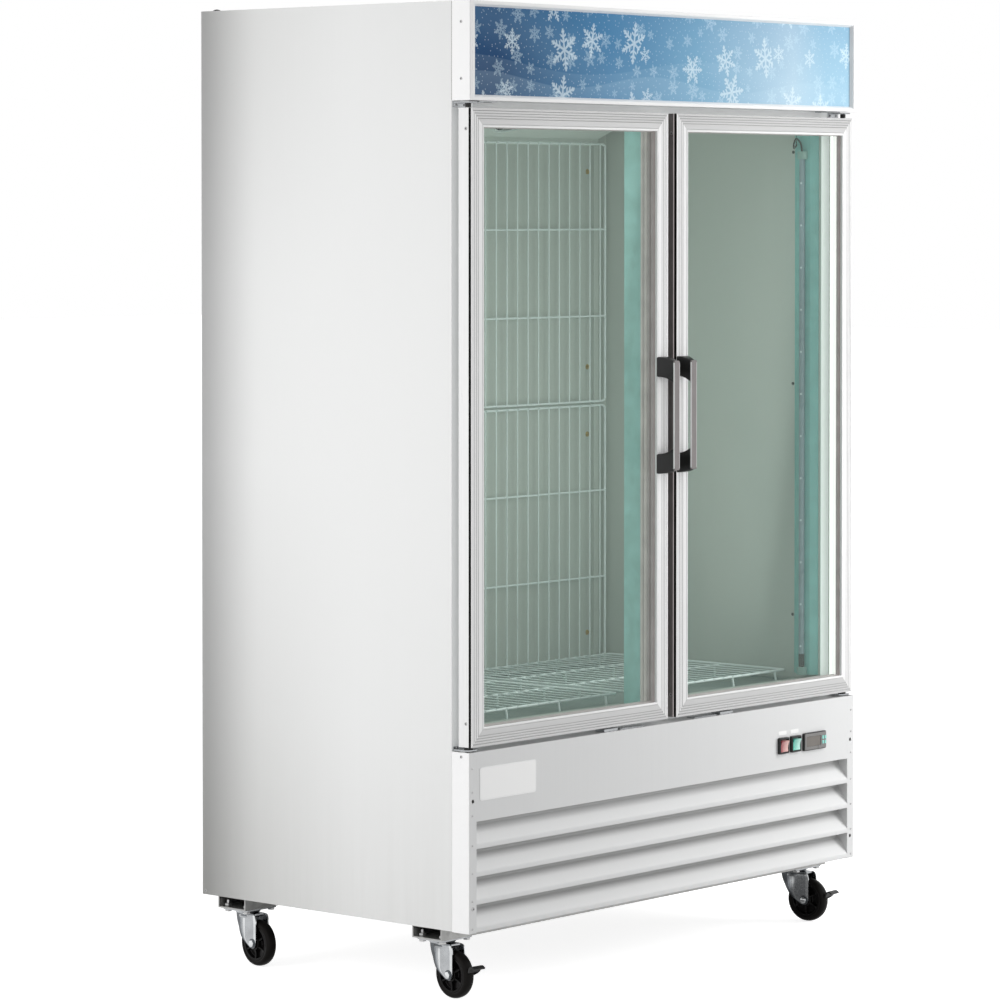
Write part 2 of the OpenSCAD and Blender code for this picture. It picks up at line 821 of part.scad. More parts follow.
module evap_fan_place(s) {
    translate([s * evap_fan_x, evap_fan_y, evap_fan_z]) rotate([-evap_tilt, 0, 0]) children();
}

module evaporator_cover() {
    placed() color("white") difference() {
        union() {
            rotate([90, 0, 90]) linear_extrude(height = 2 * evap_x, center = true)
                evap_profile(evap_t);
            for (x = [-evap_x, evap_x - evap_t])
                translate([x, 0, 0]) rotate([90, 0, 90]) linear_extrude(height = evap_t)
                    polygon([[liner_back - eps, evap_z], [evap_front, liner_top - eps],
                             [liner_back - eps, liner_top - eps]]);
        }
        for (s = [-1, 1]) evap_fan_place(s) cylinder(h = 20, r = evap_fan_r, center = true);
    }
}

module evaporator_coil() {
    fins = 30;
    coil_x = 480;
    placed() color("silver") {
        for (i = [0:fins - 1])
            translate([-coil_x + i * 2 * coil_x / (fins - 1) - 0.5, coil_y, coil_z])
                cube([1, coil_d, coil_h]);
        for (y = [18, 50, 82], z = [18, 48])
            bar_x(-coil_x - 10, coil_x + 10, coil_y + y, coil_z + z, 5);
        for (x = [-coil_x - 4, coil_x + 1])
            slab(x, x + 3, coil_y, coil_y + coil_d, coil_z, liner_top - eps);
    }
}

// A fan wheel of radius r with n flat blades on a hub, bored for its motor's shaft
module fan_wheel(r, hub, n) {
    difference() {
        cylinder(h = 20, r = hub, center = true);
        translate([0, 0, 2]) cylinder(h = 22, r = shaft_r + fit, center = true);
    }
    for (i = [0:n - 1]) rotate([0, 0, i * 360 / n])
        translate([hub - 3, 0, 0]) rotate([26, 0, 0])
            translate([0, -r * 0.22, -1]) cube([r - hub, r * 0.44, 2]);
}

module left_evaporator_fan() {
    placed() color("black") evap_fan_place(-1) translate([0, 0, 22])
        fan_wheel(evap_fan_r - 5, 16, 5);
}

module right_evaporator_fan() {
    placed() color("black") evap_fan_place(1) translate([0, 0, 22])
        fan_wheel(evap_fan_r - 5, 16, 5);
}

// A small fan motor: body, shaft and a three-armed bracket that reaches out to r and back by stand
module fan_motor(r, stand) {
    cylinder(h = 28, r = 25);
    translate([0, 0, -26]) cylinder(h = 27, r = shaft_r);
    for (a = [90:120:330]) rotate([0, 0, a]) {
        translate([20, -4, 4]) cube([r - 20, 8, 3]);
        translate([r - 3, -4, 4 - stand]) cube([3, 8, stand + 1]);
    }
}

module fan_motors() {
    placed() color("dimgray") {
        for (s = [-1, 1]) evap_fan_place(s) translate([0, 0, 42])
            fan_motor(evap_fan_r + 10, 46 - eps);
        translate([cond_mid_x, shroud_y + 72, cond_mid_z]) rotate([-90, 0, 0])
            fan_motor(cond_fan_r + 14, 76 - shroud_d - eps);
    }
}

// ---------------------------------------------------------------- condensing unit

module condenser_coil() {
    fins = 24;
    placed() color("darkslategray") {
        for (i = [0:fins - 1])
            slab(cond_x + i * (cond_w - 1) / (fins - 1), cond_x + i * (cond_w - 1) / (fins - 1) + 1,
                 cond_y, cond_y + cond_t, cond_z, cond_z + cond_h);
        for (y = [12, cond_t - 12], z = [25:48:cond_h - 20])
            bar_x(cond_x - 8, cond_x + cond_w + 8, cond_y + y, cond_z + z, 5);
        for (x = [cond_x - 3, cond_x + cond_w])
            slab(x, x + 3, cond_y, cond_y + cond_t, unit_z, cond_z + cond_h);
    }
}

module condenser_shroud() {
    placed() color("silver") difference() {
        slab(cond_x - 3, cond_x + cond_w + 3, shroud_y, shroud_y + shroud_d, unit_z, cond_z + cond_h);
        slab(cond_x - 1, cond_x + cond_w + 1, shroud_y - 1, shroud_y + shroud_d - 2,
             unit_z + 3, cond_z + cond_h - 2);
        bar_y(cond_mid_x, cond_mid_z, shroud_y - 1, shroud_y + shroud_d + 1, cond_fan_r + 5);
    }
}

module condenser_fan() {
    placed() color("gray") translate([cond_mid_x, shroud_y + 51, cond_mid_z]) rotate([-90, 0, 0])
        fan_wheel(cond_fan_r - 4, 22, 4);
}

module compressor() {
    placed() color("black") translate([comp_x, comp_y, 0]) {
        rotate_extrude() polygon([
            [0, comp_z], [comp_r - 14, comp_z], [comp_r, comp_z + 14], [comp_r, comp_z + 88],
            [comp_r + 5, comp_z + 90], [comp_r + 5, comp_z + 97], [comp_r, comp_z + 99],
            [comp_r, comp_z + comp_h - 60], [comp_r - 12, comp_z + comp_h - 26],
            [comp_r - 38, comp_z + comp_h - 6], [0, comp_z + comp_h]
        ]);
        for (x = [-1, 1], y = [-1, 1]) {
            translate([x * 78 - 16, y * 60 - 16, comp_z - 4]) cube([32, 32, 4.5]);
            translate([x * 78, y * 60, unit_z]) cylinder(h = comp_z - 4 - unit_z + 0.5, r = 11);
        }
        translate([comp_r - 4, -24, comp_z + 50]) cube([34, 48, 60]);
    }
}

// Copper lines: brazed joints at the corners of each run
module pipe_run(points) {
    for (i = [0:len(points) - 2]) rod(points[i], points[i + 1], pipe_r);
    for (i = [1:len(points) - 2]) translate(points[i]) sphere(r = pipe_r + 1.2);
}

module riser_holes(r) {
    for (x = [riser_x, riser_x + 40])
        translate([x, riser_y, deck_z - 5]) cylinder(h = liner_top - 40 - deck_z + 5, r = r);
    for (x = [riser_x, riser_x + 40])
        bar_y(x, liner_top - 50, liner_back - 10, riser_y + 3, r);
}

module refrigerant_lines() {
    top = liner_top - 50;
    coil_end = coil_y + coil_d + eps;
    placed() color("peru") {
        pipe_run([[comp_x, comp_y + comp_r + eps, comp_z + 120], [comp_x, riser_y, comp_z + 120],
                  [riser_x + 40, riser_y, comp_z + 120], [riser_x + 40, riser_y, top],
                  [riser_x + 40, coil_end, top]]);
        pipe_run([[cond_x + cond_w + 3 + eps, cond_y + cond_t / 2, cond_z + 40],
                  [riser_x, cond_y + cond_t / 2, cond_z + 40],
                  [riser_x, riser_y, cond_z + 40], [riser_x, riser_y, top],
                  [riser_x, coil_end, top]]);
        pipe_run([[comp_x, comp_y - comp_r - eps, comp_z + 60], [comp_x, cond_y + 25, comp_z + 60],
                  [comp_x, cond_y + 25, cond_z + cond_h - 60],
                  [cond_x + cond_w + 3 + eps, cond_y + 25, cond_z + cond_h - 60]]);
    }
}

// ---------------------------------------------------------------- controls

module switch_case(x) {
    difference() {
        union() {
            slab(x - sw_w / 2, x + sw_w / 2, ctl_front, front_y - eps,
                 ctl_z - sw_h / 2, ctl_z + sw_h / 2);
            slab(x - sw_w / 2 + 2 + eps, x + sw_w / 2 - 2 - eps, front_y - 1, front_y + 24,
                 ctl_z - sw_h / 2 + 2 + eps, ctl_z + sw_h / 2 - 2 - eps);
        }
        slab(x - sw_w / 2 + 4, x + sw_w / 2 - 4, ctl_front - 1, ctl_front + 18,
             ctl_z - sw_h / 2 + 4, ctl_z + sw_h / 2 - 4);
    }
    rod([x - sw_w / 2 + 3, ctl_front + 8, ctl_z], [x + sw_w / 2 - 3, ctl_front + 8, ctl_z], 1.5);
}

module button_at(i, j) translate([button_x + i * 9, 0, ctl_z - 5 + j * 11]) children();

module controller() {
    difference() {
        union() {
            slab(ctl_x - ctl_w / 2, ctl_x + ctl_w / 2, ctl_front, front_y - eps,
                 ctl_z - ctl_h / 2, ctl_z + ctl_h / 2);
            slab(ctl_x - ctl_w / 2 + 3 + eps, ctl_x + ctl_w / 2 - 3 - eps, front_y - 1, front_y + 44,
                 ctl_z - ctl_h / 2 + 3 + eps, ctl_z + ctl_h / 2 - 3 - eps);
        }
        slab(ctl_x - ctl_w / 2 + 8, button_x - 5, ctl_front - 1, ctl_front + 1,
             ctl_z - 11, ctl_z + 12);
        for (i = [0, 1], j = [0, 1])
            button_at(i, j) slab(-button_w / 2 - seat, button_w / 2 + seat, ctl_front - 1,
                                 ctl_front + 5, -button_h / 2 - seat, button_h / 2 + seat);
    }
}

// The junction box on the compartment's floor, behind the switches
module junction_box() {
    slab(box_x, box_x + 140, box_y, box_y + 90, unit_z, unit_z + 120);
}

module control_modules() {
    placed() color("#222222") {
        switch_case(red_x);
        switch_case(green_x);
        controller();
        junction_box();
    }
}

module rocker(x) {
    half = sw_h / 2 - 6;
    translate([x, ctl_front + 8, ctl_z]) rotate([rocker_tilt, 0, 0]) difference() {
        rotate([90, 0, 90]) linear_extrude(height = sw_w - 8 - 2 * seat, center = true)
            polygon([[-10, -half], [-7.6, 0], [-10, half], [3, half], [4, 0], [3, -half]]);
        rotate([0, 90, 0]) cylinder(h = sw_w, r = 1.5 + fit, center = true);
    }
}

module red_rocker() placed() color("firebrick") rocker(red_x);
module green_rocker() placed() color("mediumseagreen") rocker(green_x);

module button(i, j) {
    placed() color("mediumaquamarine") button_at(i, j)
        slab(-button_w / 2, button_w / 2, ctl_front - 0.9, ctl_front + 5 - button_travel - seat,
             -button_h / 2, button_h / 2);
}

module button_up() button(0, 1);
module button_down() button(0, 0);
module button_set() button(1, 1);
module button_defrost() button(1, 0);

// ---------------------------------------------------------------- casters

module caster_plates() {
    placed() color("silver")
        for (x = [-caster_x, caster_x], y = [caster_y0, caster_y1])
            translate([x, y, 0]) {
                difference() {
                    translate([-plate_x / 2, -plate_y / 2, plate_z]) cube([plate_x, plate_y, plate_t - eps]);
                    for (i = [-1, 1], j = [-1, 1])
                        translate([i * bolt_dx, j * bolt_dy, plate_z - 1])
                            cylinder(h = plate_t + 2, r = bolt_r + eps);
                }
                translate([0, 0, plate_z - race_h]) cylinder(h = race_h, r = 23);
                translate([0, 0, crown_top - crown_t - 4]) cylinder(h = 14, r = 6);
                translate([0, 0, crown_top - crown_t - 4]) cylinder(h = 4 - seat, r = 10);
            }
}

// A leg's outline from the side: wide at the crown, narrow at the axle
module leg_outline() {
    polygon([
        [24, crown_top], [-22, crown_top], [-24, crown_top - 16],
        [-trail - 11, wheel_r + 3], [-trail - 8, wheel_r - 7], [-trail, wheel_r - 11],
        [-trail + 9, wheel_r - 6], [2, crown_top - 42], [22, crown_top - 12]
    ]);
}

// Drawn with the swivel at the origin and the wheel trailing towards -Y; hub is the room that
// a pedal takes under the nut
module fork(hub = 0) {
    out = leg_gap + leg_t;
    color("silver") {
        for (x = [-out, leg_gap])
            translate([x, 0, 0]) rotate([90, 0, 90]) linear_extrude(height = leg_t) leg_outline();
        difference() {
            slab(-out, out, -22, 24, crown_top - crown_t, crown_top);
            translate([0, 0, crown_top - 10]) cylinder(h = 20, r = 6 + fit);
        }
        bar_x(-out - 5, out + hub + 5, -trail, wheel_r, axle_r);
        bar_x(-out - 5, -out, -trail, wheel_r, 8);
        bar_x(out + hub, out + hub + 5, -trail, wheel_r, 8);
    }
}

module wheel() {
    hub_r = 15;
    rim_r = wheel_r - 12;
    color("#111111") translate([0, -trail, wheel_r]) rotate([0, 90, 0]) {
        rotate_extrude() polygon([
            [axle_r + fit, -wheel_w / 2], [hub_r, -wheel_w / 2], [hub_r, -4],
            [rim_r, -4], [rim_r + 2, -wheel_w / 2 + 3], [wheel_r - 5, -wheel_w / 2 + 3],
            [wheel_r - 1.5, -wheel_w / 4], [wheel_r, 0], [wheel_r - 1.5, wheel_w / 4],
            [wheel_r - 5, wheel_w / 2 - 3], [rim_r + 2, wheel_w / 2 - 3], [rim_r, 4],
            [hub_r, 4], [hub_r, wheel_w / 2], [axle_r + fit, wheel_w / 2]
        ]);
        for (a = [0:60:300]) rotate([0, 0, a])
            translate([hub_r - 1, -1.5, -8]) cube([rim_r - hub_r + 3, 3, 16]);
    }
}

// The pedal turns on the axle bolt, outside the fork, and its foot tab stands ahead of the wheel
module brake_pedal() {
    in = leg_gap + leg_t + seat;
    out = in + pedal_hub;
    tab_y = -trail - wheel_r - 4;
    tab_w = 32;
    color("#1a1a1a") difference() {
        union() {
            bar_x(in, out, -trail, wheel_r, 11);
            slab(in, out, tab_y - 6, -trail - 7, wheel_r + 1, wheel_r + 8);
            slab(out - tab_w, out, tab_y - 6, tab_y, wheel_r + 1, wheel_r + 8);
            translate([out - tab_w, tab_y - 24, wheel_r + 9]) rotate([-10, 0, 0])
                cube([tab_w, 23, 4]);
        }
        bar_x(in - 1, out + 1, -trail, wheel_r, axle_r + fit);
    }
}

module at_caster(sx, y, turn) {
    placed() translate([sx * caster_x, y, 0]) rotate([0, 0, turn]) children();
}

module front_left_fork() at_caster(-1, caster_y0, front_left_turn) fork(pedal_hub + 2 * seat);
module front_right_fork() at_caster(1, caster_y0, front_right_turn) fork(pedal_hub + 2 * seat);
module rear_left_fork() at_caster(-1, caster_y1, rear_left_turn) fork();
module rear_right_fork() at_caster(1, caster_y1, rear_right_turn) fork();
module front_left_wheel() at_caster(-1, caster_y0, front_left_turn) wheel();
module front_right_wheel() at_caster(1, caster_y0, front_right_turn) wheel();
module rear_left_wheel() at_caster(-1, caster_y1, rear_left_turn) wheel();
module rear_right_wheel() at_caster(1, caster_y1, rear_right_turn) wheel();
module left_brake_pedal() at_caster(-1, caster_y0, front_left_turn) brake_pedal();
module right_brake_pedal() at_caster(1, caster_y0, front_right_turn) brake_pedal();

// ---------------------------------------------------------------- fasteners and gland

module screws() {
    placed() color("darkgray") {
        both_sides() {
            for (z = cap_screw_z) side_screw(z);
            side_screw(corner_screw_z);
            for (z = concat(rivet_up, rivet_low)) screw_y(skin_x - 10, z, front_y, 2.2, 3);
        }
        bracket_screws() screw_y(0, 0, body_y - bracket_t, 2.3, 4.8);
        screw_y(-skin_x + 12, hole_z[0], front_y - eps, 4.6, 3);
        for (x = [-caster_x, caster_x], y = [caster_y0, caster_y1]) caster_bolts(x, y) {
            translate([0, 0, -plate_t - 5 - eps]) cylinder(h = 5, r = 7, $fn = 6);
            translate([0, 0, -plate_t - 5]) cylinder(h = plate_t + 5 + 16, r = bolt_r);
            translate([0, 0, channel_t + eps]) cylinder(h = 6, r = 7, $fn = 6);
        }
    }
}

// A screw through an end cover, driven towards the middle
module side_screw(z) {
    bar_x(half_w + eps, half_w + 1.5, 24, z, 3.4);
    bar_x(half_w - 6, half_w + 1, 24, z, 1.8);
}

module black_grommets() {
    placed() color("#202020") difference() {
        union() {
            bar_y(gland_x, gland_z, back_y - gland_l, back_y, gland_out - eps);
            bar_y(gland_x, gland_z, back_y - 8, back_y - sheet_t - eps, gland_out + 4);
        }
        bar_y(gland_x, gland_z, back_y - gland_l - 1, back_y + 1, gland_r);
    }
    placed() color("#202020") intersection() {
        translate([-half_w + 14, back_y - 34, cab_h - 10]) sphere(r = 14);
        slab(-half_w, 0, 0, back_y, cab_h + eps, cab_h + 20);
    }
}

// ---------------------------------------------------------------- the part

left_side_panel();
right_side_panel();
back_panel();
top_panel();
base_frame();
foam_insulation();
inner_liner();
face_frame();
center_mullion();
sign_frame();
sign_panel();
trim_covers();
control_panel();
louvre_blades();
grille_uprights();
door_hardware();
lamp_channels();
lamp_tubes();
wire_guards();
floor_racks();
evaporator_cover();
evaporator_coil();
fan_motors();
condenser_coil();
condenser_shroud();
compressor();
refrigerant_lines();
control_modules();
caster_plates();
screws();
black_grommets();
left_door_frame();
left_door_glass();
left_door_gasket();
left_handle_grip();
left_handle_ends();
right_door_frame();
right_door_glass();
right_door_gasket();
right_handle_grip();
right_handle_ends();
front_left_fork();
front_right_fork();
rear_left_fork();
rear_right_fork();
front_left_wheel();
front_right_wheel();
rear_left_wheel();
rear_right_wheel();
left_brake_pedal();
right_brake_pedal();
red_rocker();
green_rocker();
button_up();
button_down();
button_set();
button_defrost();
left_evaporator_fan();
right_evaporator_fan();
condenser_fan();
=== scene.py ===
"""Looks of a two-door ice merchandiser freezer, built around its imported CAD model.

Shapes are given in millimetres, with y measured back from the header's front face, as in the
part's source. mm() turns them into metres in the shared frame.
"""
import math
import random

import bpy
import bmesh
from mathutils import Matrix, Vector


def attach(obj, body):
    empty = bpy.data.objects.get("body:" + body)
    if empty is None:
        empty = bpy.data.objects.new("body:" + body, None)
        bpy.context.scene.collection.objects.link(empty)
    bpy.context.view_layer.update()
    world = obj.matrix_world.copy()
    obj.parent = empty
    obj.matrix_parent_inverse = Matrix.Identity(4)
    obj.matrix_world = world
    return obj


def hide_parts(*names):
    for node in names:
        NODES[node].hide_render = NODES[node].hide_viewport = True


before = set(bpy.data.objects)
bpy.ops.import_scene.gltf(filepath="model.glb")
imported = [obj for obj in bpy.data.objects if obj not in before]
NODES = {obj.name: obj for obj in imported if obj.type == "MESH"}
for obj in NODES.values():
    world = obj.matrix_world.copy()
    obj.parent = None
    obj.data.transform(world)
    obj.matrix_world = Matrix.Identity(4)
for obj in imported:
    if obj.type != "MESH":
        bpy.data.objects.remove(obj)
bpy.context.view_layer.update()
FACE_Y = -0.371  # the header's front face in the frame, in metres
random.seed(7)

# ------------------------------------------------------------------ measures, millimetres
HALF_W, SKIN_X, LINER_X = 675, 674, 612
CAB_H, LINER_BACK = 2077, 690
FRONT_Z, HEADER_Z, SILL_Z, LINTEL_Z = 150, 1871, 564, 1827
GAP = 0.05  # between faces that touch in the real object
BLADES, BLADE_PITCH = 4, 57.75
PIN_X, PIN_Y = 655, 22
UPRIGHT_X = 651
HANDLE_Z = 1199
BRACKET_LOW, BRACKET_TOP = 527, 1866
CTL_Z, RED_X, GREEN_X, CTL_X = 435, 402, 447.5, 519
SW_W, SW_H, CTL_W, CTL_H, CTL_FRONT = 36, 37, 84, 40, -4
BUTTON_X = 547
CASTER_X, CASTER_Y = 616, (122, 690)
CASTERS = {
    "front_left": (-CASTER_X, CASTER_Y[0], -7), "front_right": (CASTER_X, CASTER_Y[0], 4),
    "rear_left": (-CASTER_X, CASTER_Y[1], -8), "rear_right": (CASTER_X, CASTER_Y[1], 0),
}
BOLT_DX, BOLT_DY = 38, 28
TRAIL, WHEEL_R, CROWN = 32, 50, 113.7
EVAP_TILT, EVAP_FAN_X, EVAP_FAN_R = math.radians(23.5), 183, 65
EVAP_FAN_Y = LINER_BACK - 34 - EVAP_FAN_R * math.cos(EVAP_TILT)
EVAP_FAN_Z = 1816 + (LINER_BACK - EVAP_FAN_Y) * math.tan(EVAP_TILT)
COND_MID_X, COND_MID_Z, SHROUD_Y = -250, 311.55, 140.05


def mm(p):
    return Vector((p[0] * 0.001, FACE_Y + p[1] * 0.001, p[2] * 0.001))


# ------------------------------------------------------------------ mesh building


class Shape:
    """Faces gathered in millimetres, then built into one object."""

    def __init__(self):
        self.verts, self.faces, self.slots = [], [], []

    def add(self, verts, faces, slot=0):
        n = len(self.verts)
        self.verts += [Vector(v) for v in verts]
        self.faces += [tuple(n + i for i in f) for f in faces]
        self.slots += [slot] * len(faces)
        return self

    def box(self, x0, x1, y0, y1, z0, z1, slot=0):
        v = [(x, y, z) for x in (x0, x1) for y in (y0, y1) for z in (z0, z1)]
        f = [(0, 1, 3, 2), (4, 6, 7, 5), (0, 4, 5, 1), (2, 3, 7, 6), (0, 2, 6, 4), (1, 5, 7, 3)]
        return self.add(v, f, slot)

    def loft(self, rings, slot=0, caps=True, loop=False):
        """Skins rings of equally many points. loop joins the last ring to the first."""
        n, m = len(rings), len(rings[0])
        f = []
        for i in range(n if loop else n - 1):
            a, b = i * m, ((i + 1) % n) * m
            f += [(a + j, a + (j + 1) % m, b + (j + 1) % m, b + j) for j in range(m)]
        if caps and not loop:
            f += [tuple(reversed(range(m))), tuple((n - 1) * m + j for j in range(m))]
        return self.add([p for r in rings for p in r], f, slot)

    def along_x(self, outline, x0, x1, slot=0):
        return self.loft([[(x, y, z) for y, z in outline] for x in (x0, x1)], slot)

    def along_z(self, outline, z0, z1, slot=0):
        return self.loft([[(x, y, z) for x, y in outline] for z in (z0, z1)], slot)

    def along_y(self, outline, y0, y1, slot=0):
        return self.stack([(outline, y0), (outline, y1)], slot)

    def stack(self, levels, slot=0, caps=True):
        """Skins outlines of (x, z), each at its own y."""
        return self.loft([[(x, y, z) for x, z in line] for line, y in levels], slot, caps)

    def rim(self, profile, x0, x1, z0, z1, slot=0):
        """A profile of (distance in from the edge, y) swept round a rectangle, mitred."""
        corners = [(x0, z0, 1, 1), (x1, z0, -1, 1), (x1, z1, -1, -1), (x0, z1, 1, -1)]
        rings = [[(x + sx * u, y, z + sz * u) for u, y in profile] for x, z, sx, sz in corners]
        return self.loft(rings, slot, loop=True)

    def tube(self, path, r, sides=10, slot=0, loop=False, caps=True):
        pts = [Vector(p) for p in path]
        n = len(pts)
        rings, side = [], None
        for i, p in enumerate(pts):
            a, b = pts[i - 1 if i or loop else 0], pts[(i + 1) % n if i < n - 1 or loop else i]
            t = (b - a).normalized()
            if side is None:
                side = t.orthogonal().normalized()
            side = (side - t * side.dot(t)).normalized()
            up = t.cross(side)
            rr = r[i] if isinstance(r, (list, tuple)) else r
            rings.append([p + side * (rr * math.cos(2 * math.pi * k / sides))
                          + up * (rr * math.sin(2 * math.pi * k / sides)) for k in range(sides)])
        return self.loft(rings, slot, caps=caps, loop=loop)

    def lathe(self, profile, centre, axis, sides=32, slot=0, closed=False):
        """A profile of (distance along axis, radius) turned about the axis through centre."""
        c, w = Vector(centre), Vector(axis).normalized()
        u = w.orthogonal().normalized()
        v = w.cross(u)
        spokes = [u * math.cos(2 * math.pi * k / sides) + v * math.sin(2 * math.pi * k / sides)
                  for k in range(sides)]
        rings = [[c + w * h + s * max(r, 1e-4) for s in spokes] for h, r in profile]
        return self.loft(rings, slot, caps=not closed, loop=closed)

    def moved(self, matrix):
        self.verts = [matrix @ v for v in self.verts]
        return self

    def join(self, other, matrix=None):
        n = len(self.verts)
        self.verts += [matrix @ v if matrix else v.copy() for v in other.verts]
        self.faces += [tuple(n + i for i in f) for f in other.faces]
        self.slots += other.slots
        return self

    def mirrored(self):
        """The same shape on the cabinet's other side."""
        made = Shape()
        made.verts = [Vector((-v.x, v.y, v.z)) for v in self.verts]
        made.faces = [tuple(reversed(f)) for f in self.faces]
        made.slots = list(self.slots)
        return made

    def build(self, name, mats, body, slot=None, replaces=(), bevel=0.0, segments=2,
              smooth=35, subdivide=0):
        mats = mats if isinstance(mats, (list, tuple)) else [mats]
        mesh = bpy.data.meshes.new(name)
        mesh.from_pydata([mm(v) for v in self.verts], [], self.faces)
        for poly, k in zip(mesh.polygons, self.slots):
            poly.material_index = k
        bm = bmesh.new()
        bm.from_mesh(mesh)
        bmesh.ops.remove_doubles(bm, verts=bm.verts, dist=1e-7)
        bmesh.ops.dissolve_degenerate(bm, edges=bm.edges, dist=1e-7)
        bmesh.ops.recalc_face_normals(bm, faces=bm.faces)
        bm.to_mesh(mesh)
        bm.free()
        mesh.polygons.foreach_set("use_smooth", [True] * len(mesh.polygons))
        mesh.set_sharp_from_angle(angle=math.radians(smooth))
        for m in mats:
            mesh.materials.append(M[m])
        obj = scene_object(name, mesh)
        if bevel:
            mod = obj.modifiers.new("edges", "BEVEL")
            mod.width, mod.segments = bevel * 0.001, segments
            mod.limit_method, mod.angle_limit = "ANGLE", math.radians(28)
            mod.harden_normals = True
        if subdivide:
            mod = obj.modifiers.new("smooth", "SUBSURF")
            mod.levels = mod.render_levels = subdivide
        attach(obj, body)
        if replaces:
            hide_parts(*replaces)
        return obj


def scene_object(name, data):
    obj = bpy.data.objects.new(name, data)
    bpy.context.scene.collection.objects.link(obj)
    return obj


def arc(cx, cy, r, a0, a1, n=4):
    """Points of an arc in a plane, from angle a0 to a1 in degrees."""
    return [(cx + r * math.cos(math.radians(a0 + (a1 - a0) * i / n)),
             cy + r * math.sin(math.radians(a0 + (a1 - a0) * i / n))) for i in range(n + 1)]


def rounded(x0, x1, y0, y1, r, n=4):
    """The outline of a rectangle with round corners."""
    return (arc(x1 - r, y1 - r, r, 0, 90, n) + arc(x0 + r, y1 - r, r, 90, 180, n)
            + arc(x0 + r, y0 + r, r, 180, 270, n) + arc(x1 - r, y0 + r, r, 270, 360, n))


def inset(box, by, r):
    """The rounded outline of a box (x0, x1, z0, z1), moved inwards."""
    x0, x1, z0, z1 = box
    return rounded(x0 + by, x1 - by, z0 + by, z1 - by, r)


def bent_path(points, r, n=5):
    """A path through points with its corners rounded to radius r."""
    pts = [Vector(p) for p in points]
    out = [pts[0]]
    for a, b, c in zip(pts, pts[1:], pts[2:]):
        u, w = (a - b).normalized(), (c - b).normalized()
        reach = min(r, (a - b).length * 0.45, (c - b).length * 0.45)
        for i in range(n + 1):
            t = i / n
            out.append((b + u * reach) * (1 - t) ** 2 + b * 2 * t * (1 - t) + (b + w * reach) * t * t)
    return out + [pts[-1]]


def folded_sheet(points, t, r=1.6, n=4):
    """The closed outline of a sheet t thick that follows points with bends of radius r."""
    path = [Vector((p[0], p[1], 0)) for p in points]
    line = bent_path(path, r, n)
    left, right = [], []
    for i, p in enumerate(line):
        d = (line[min(i + 1, len(line) - 1)] - line[max(i - 1, 0)]).normalized()
        side = Vector((-d.y, d.x, 0)) * (t / 2)
        left.append(p + side)
        right.append(p - side)
    return [(p.x, p.y) for p in left + right[::-1]]


# ------------------------------------------------------------------ materials


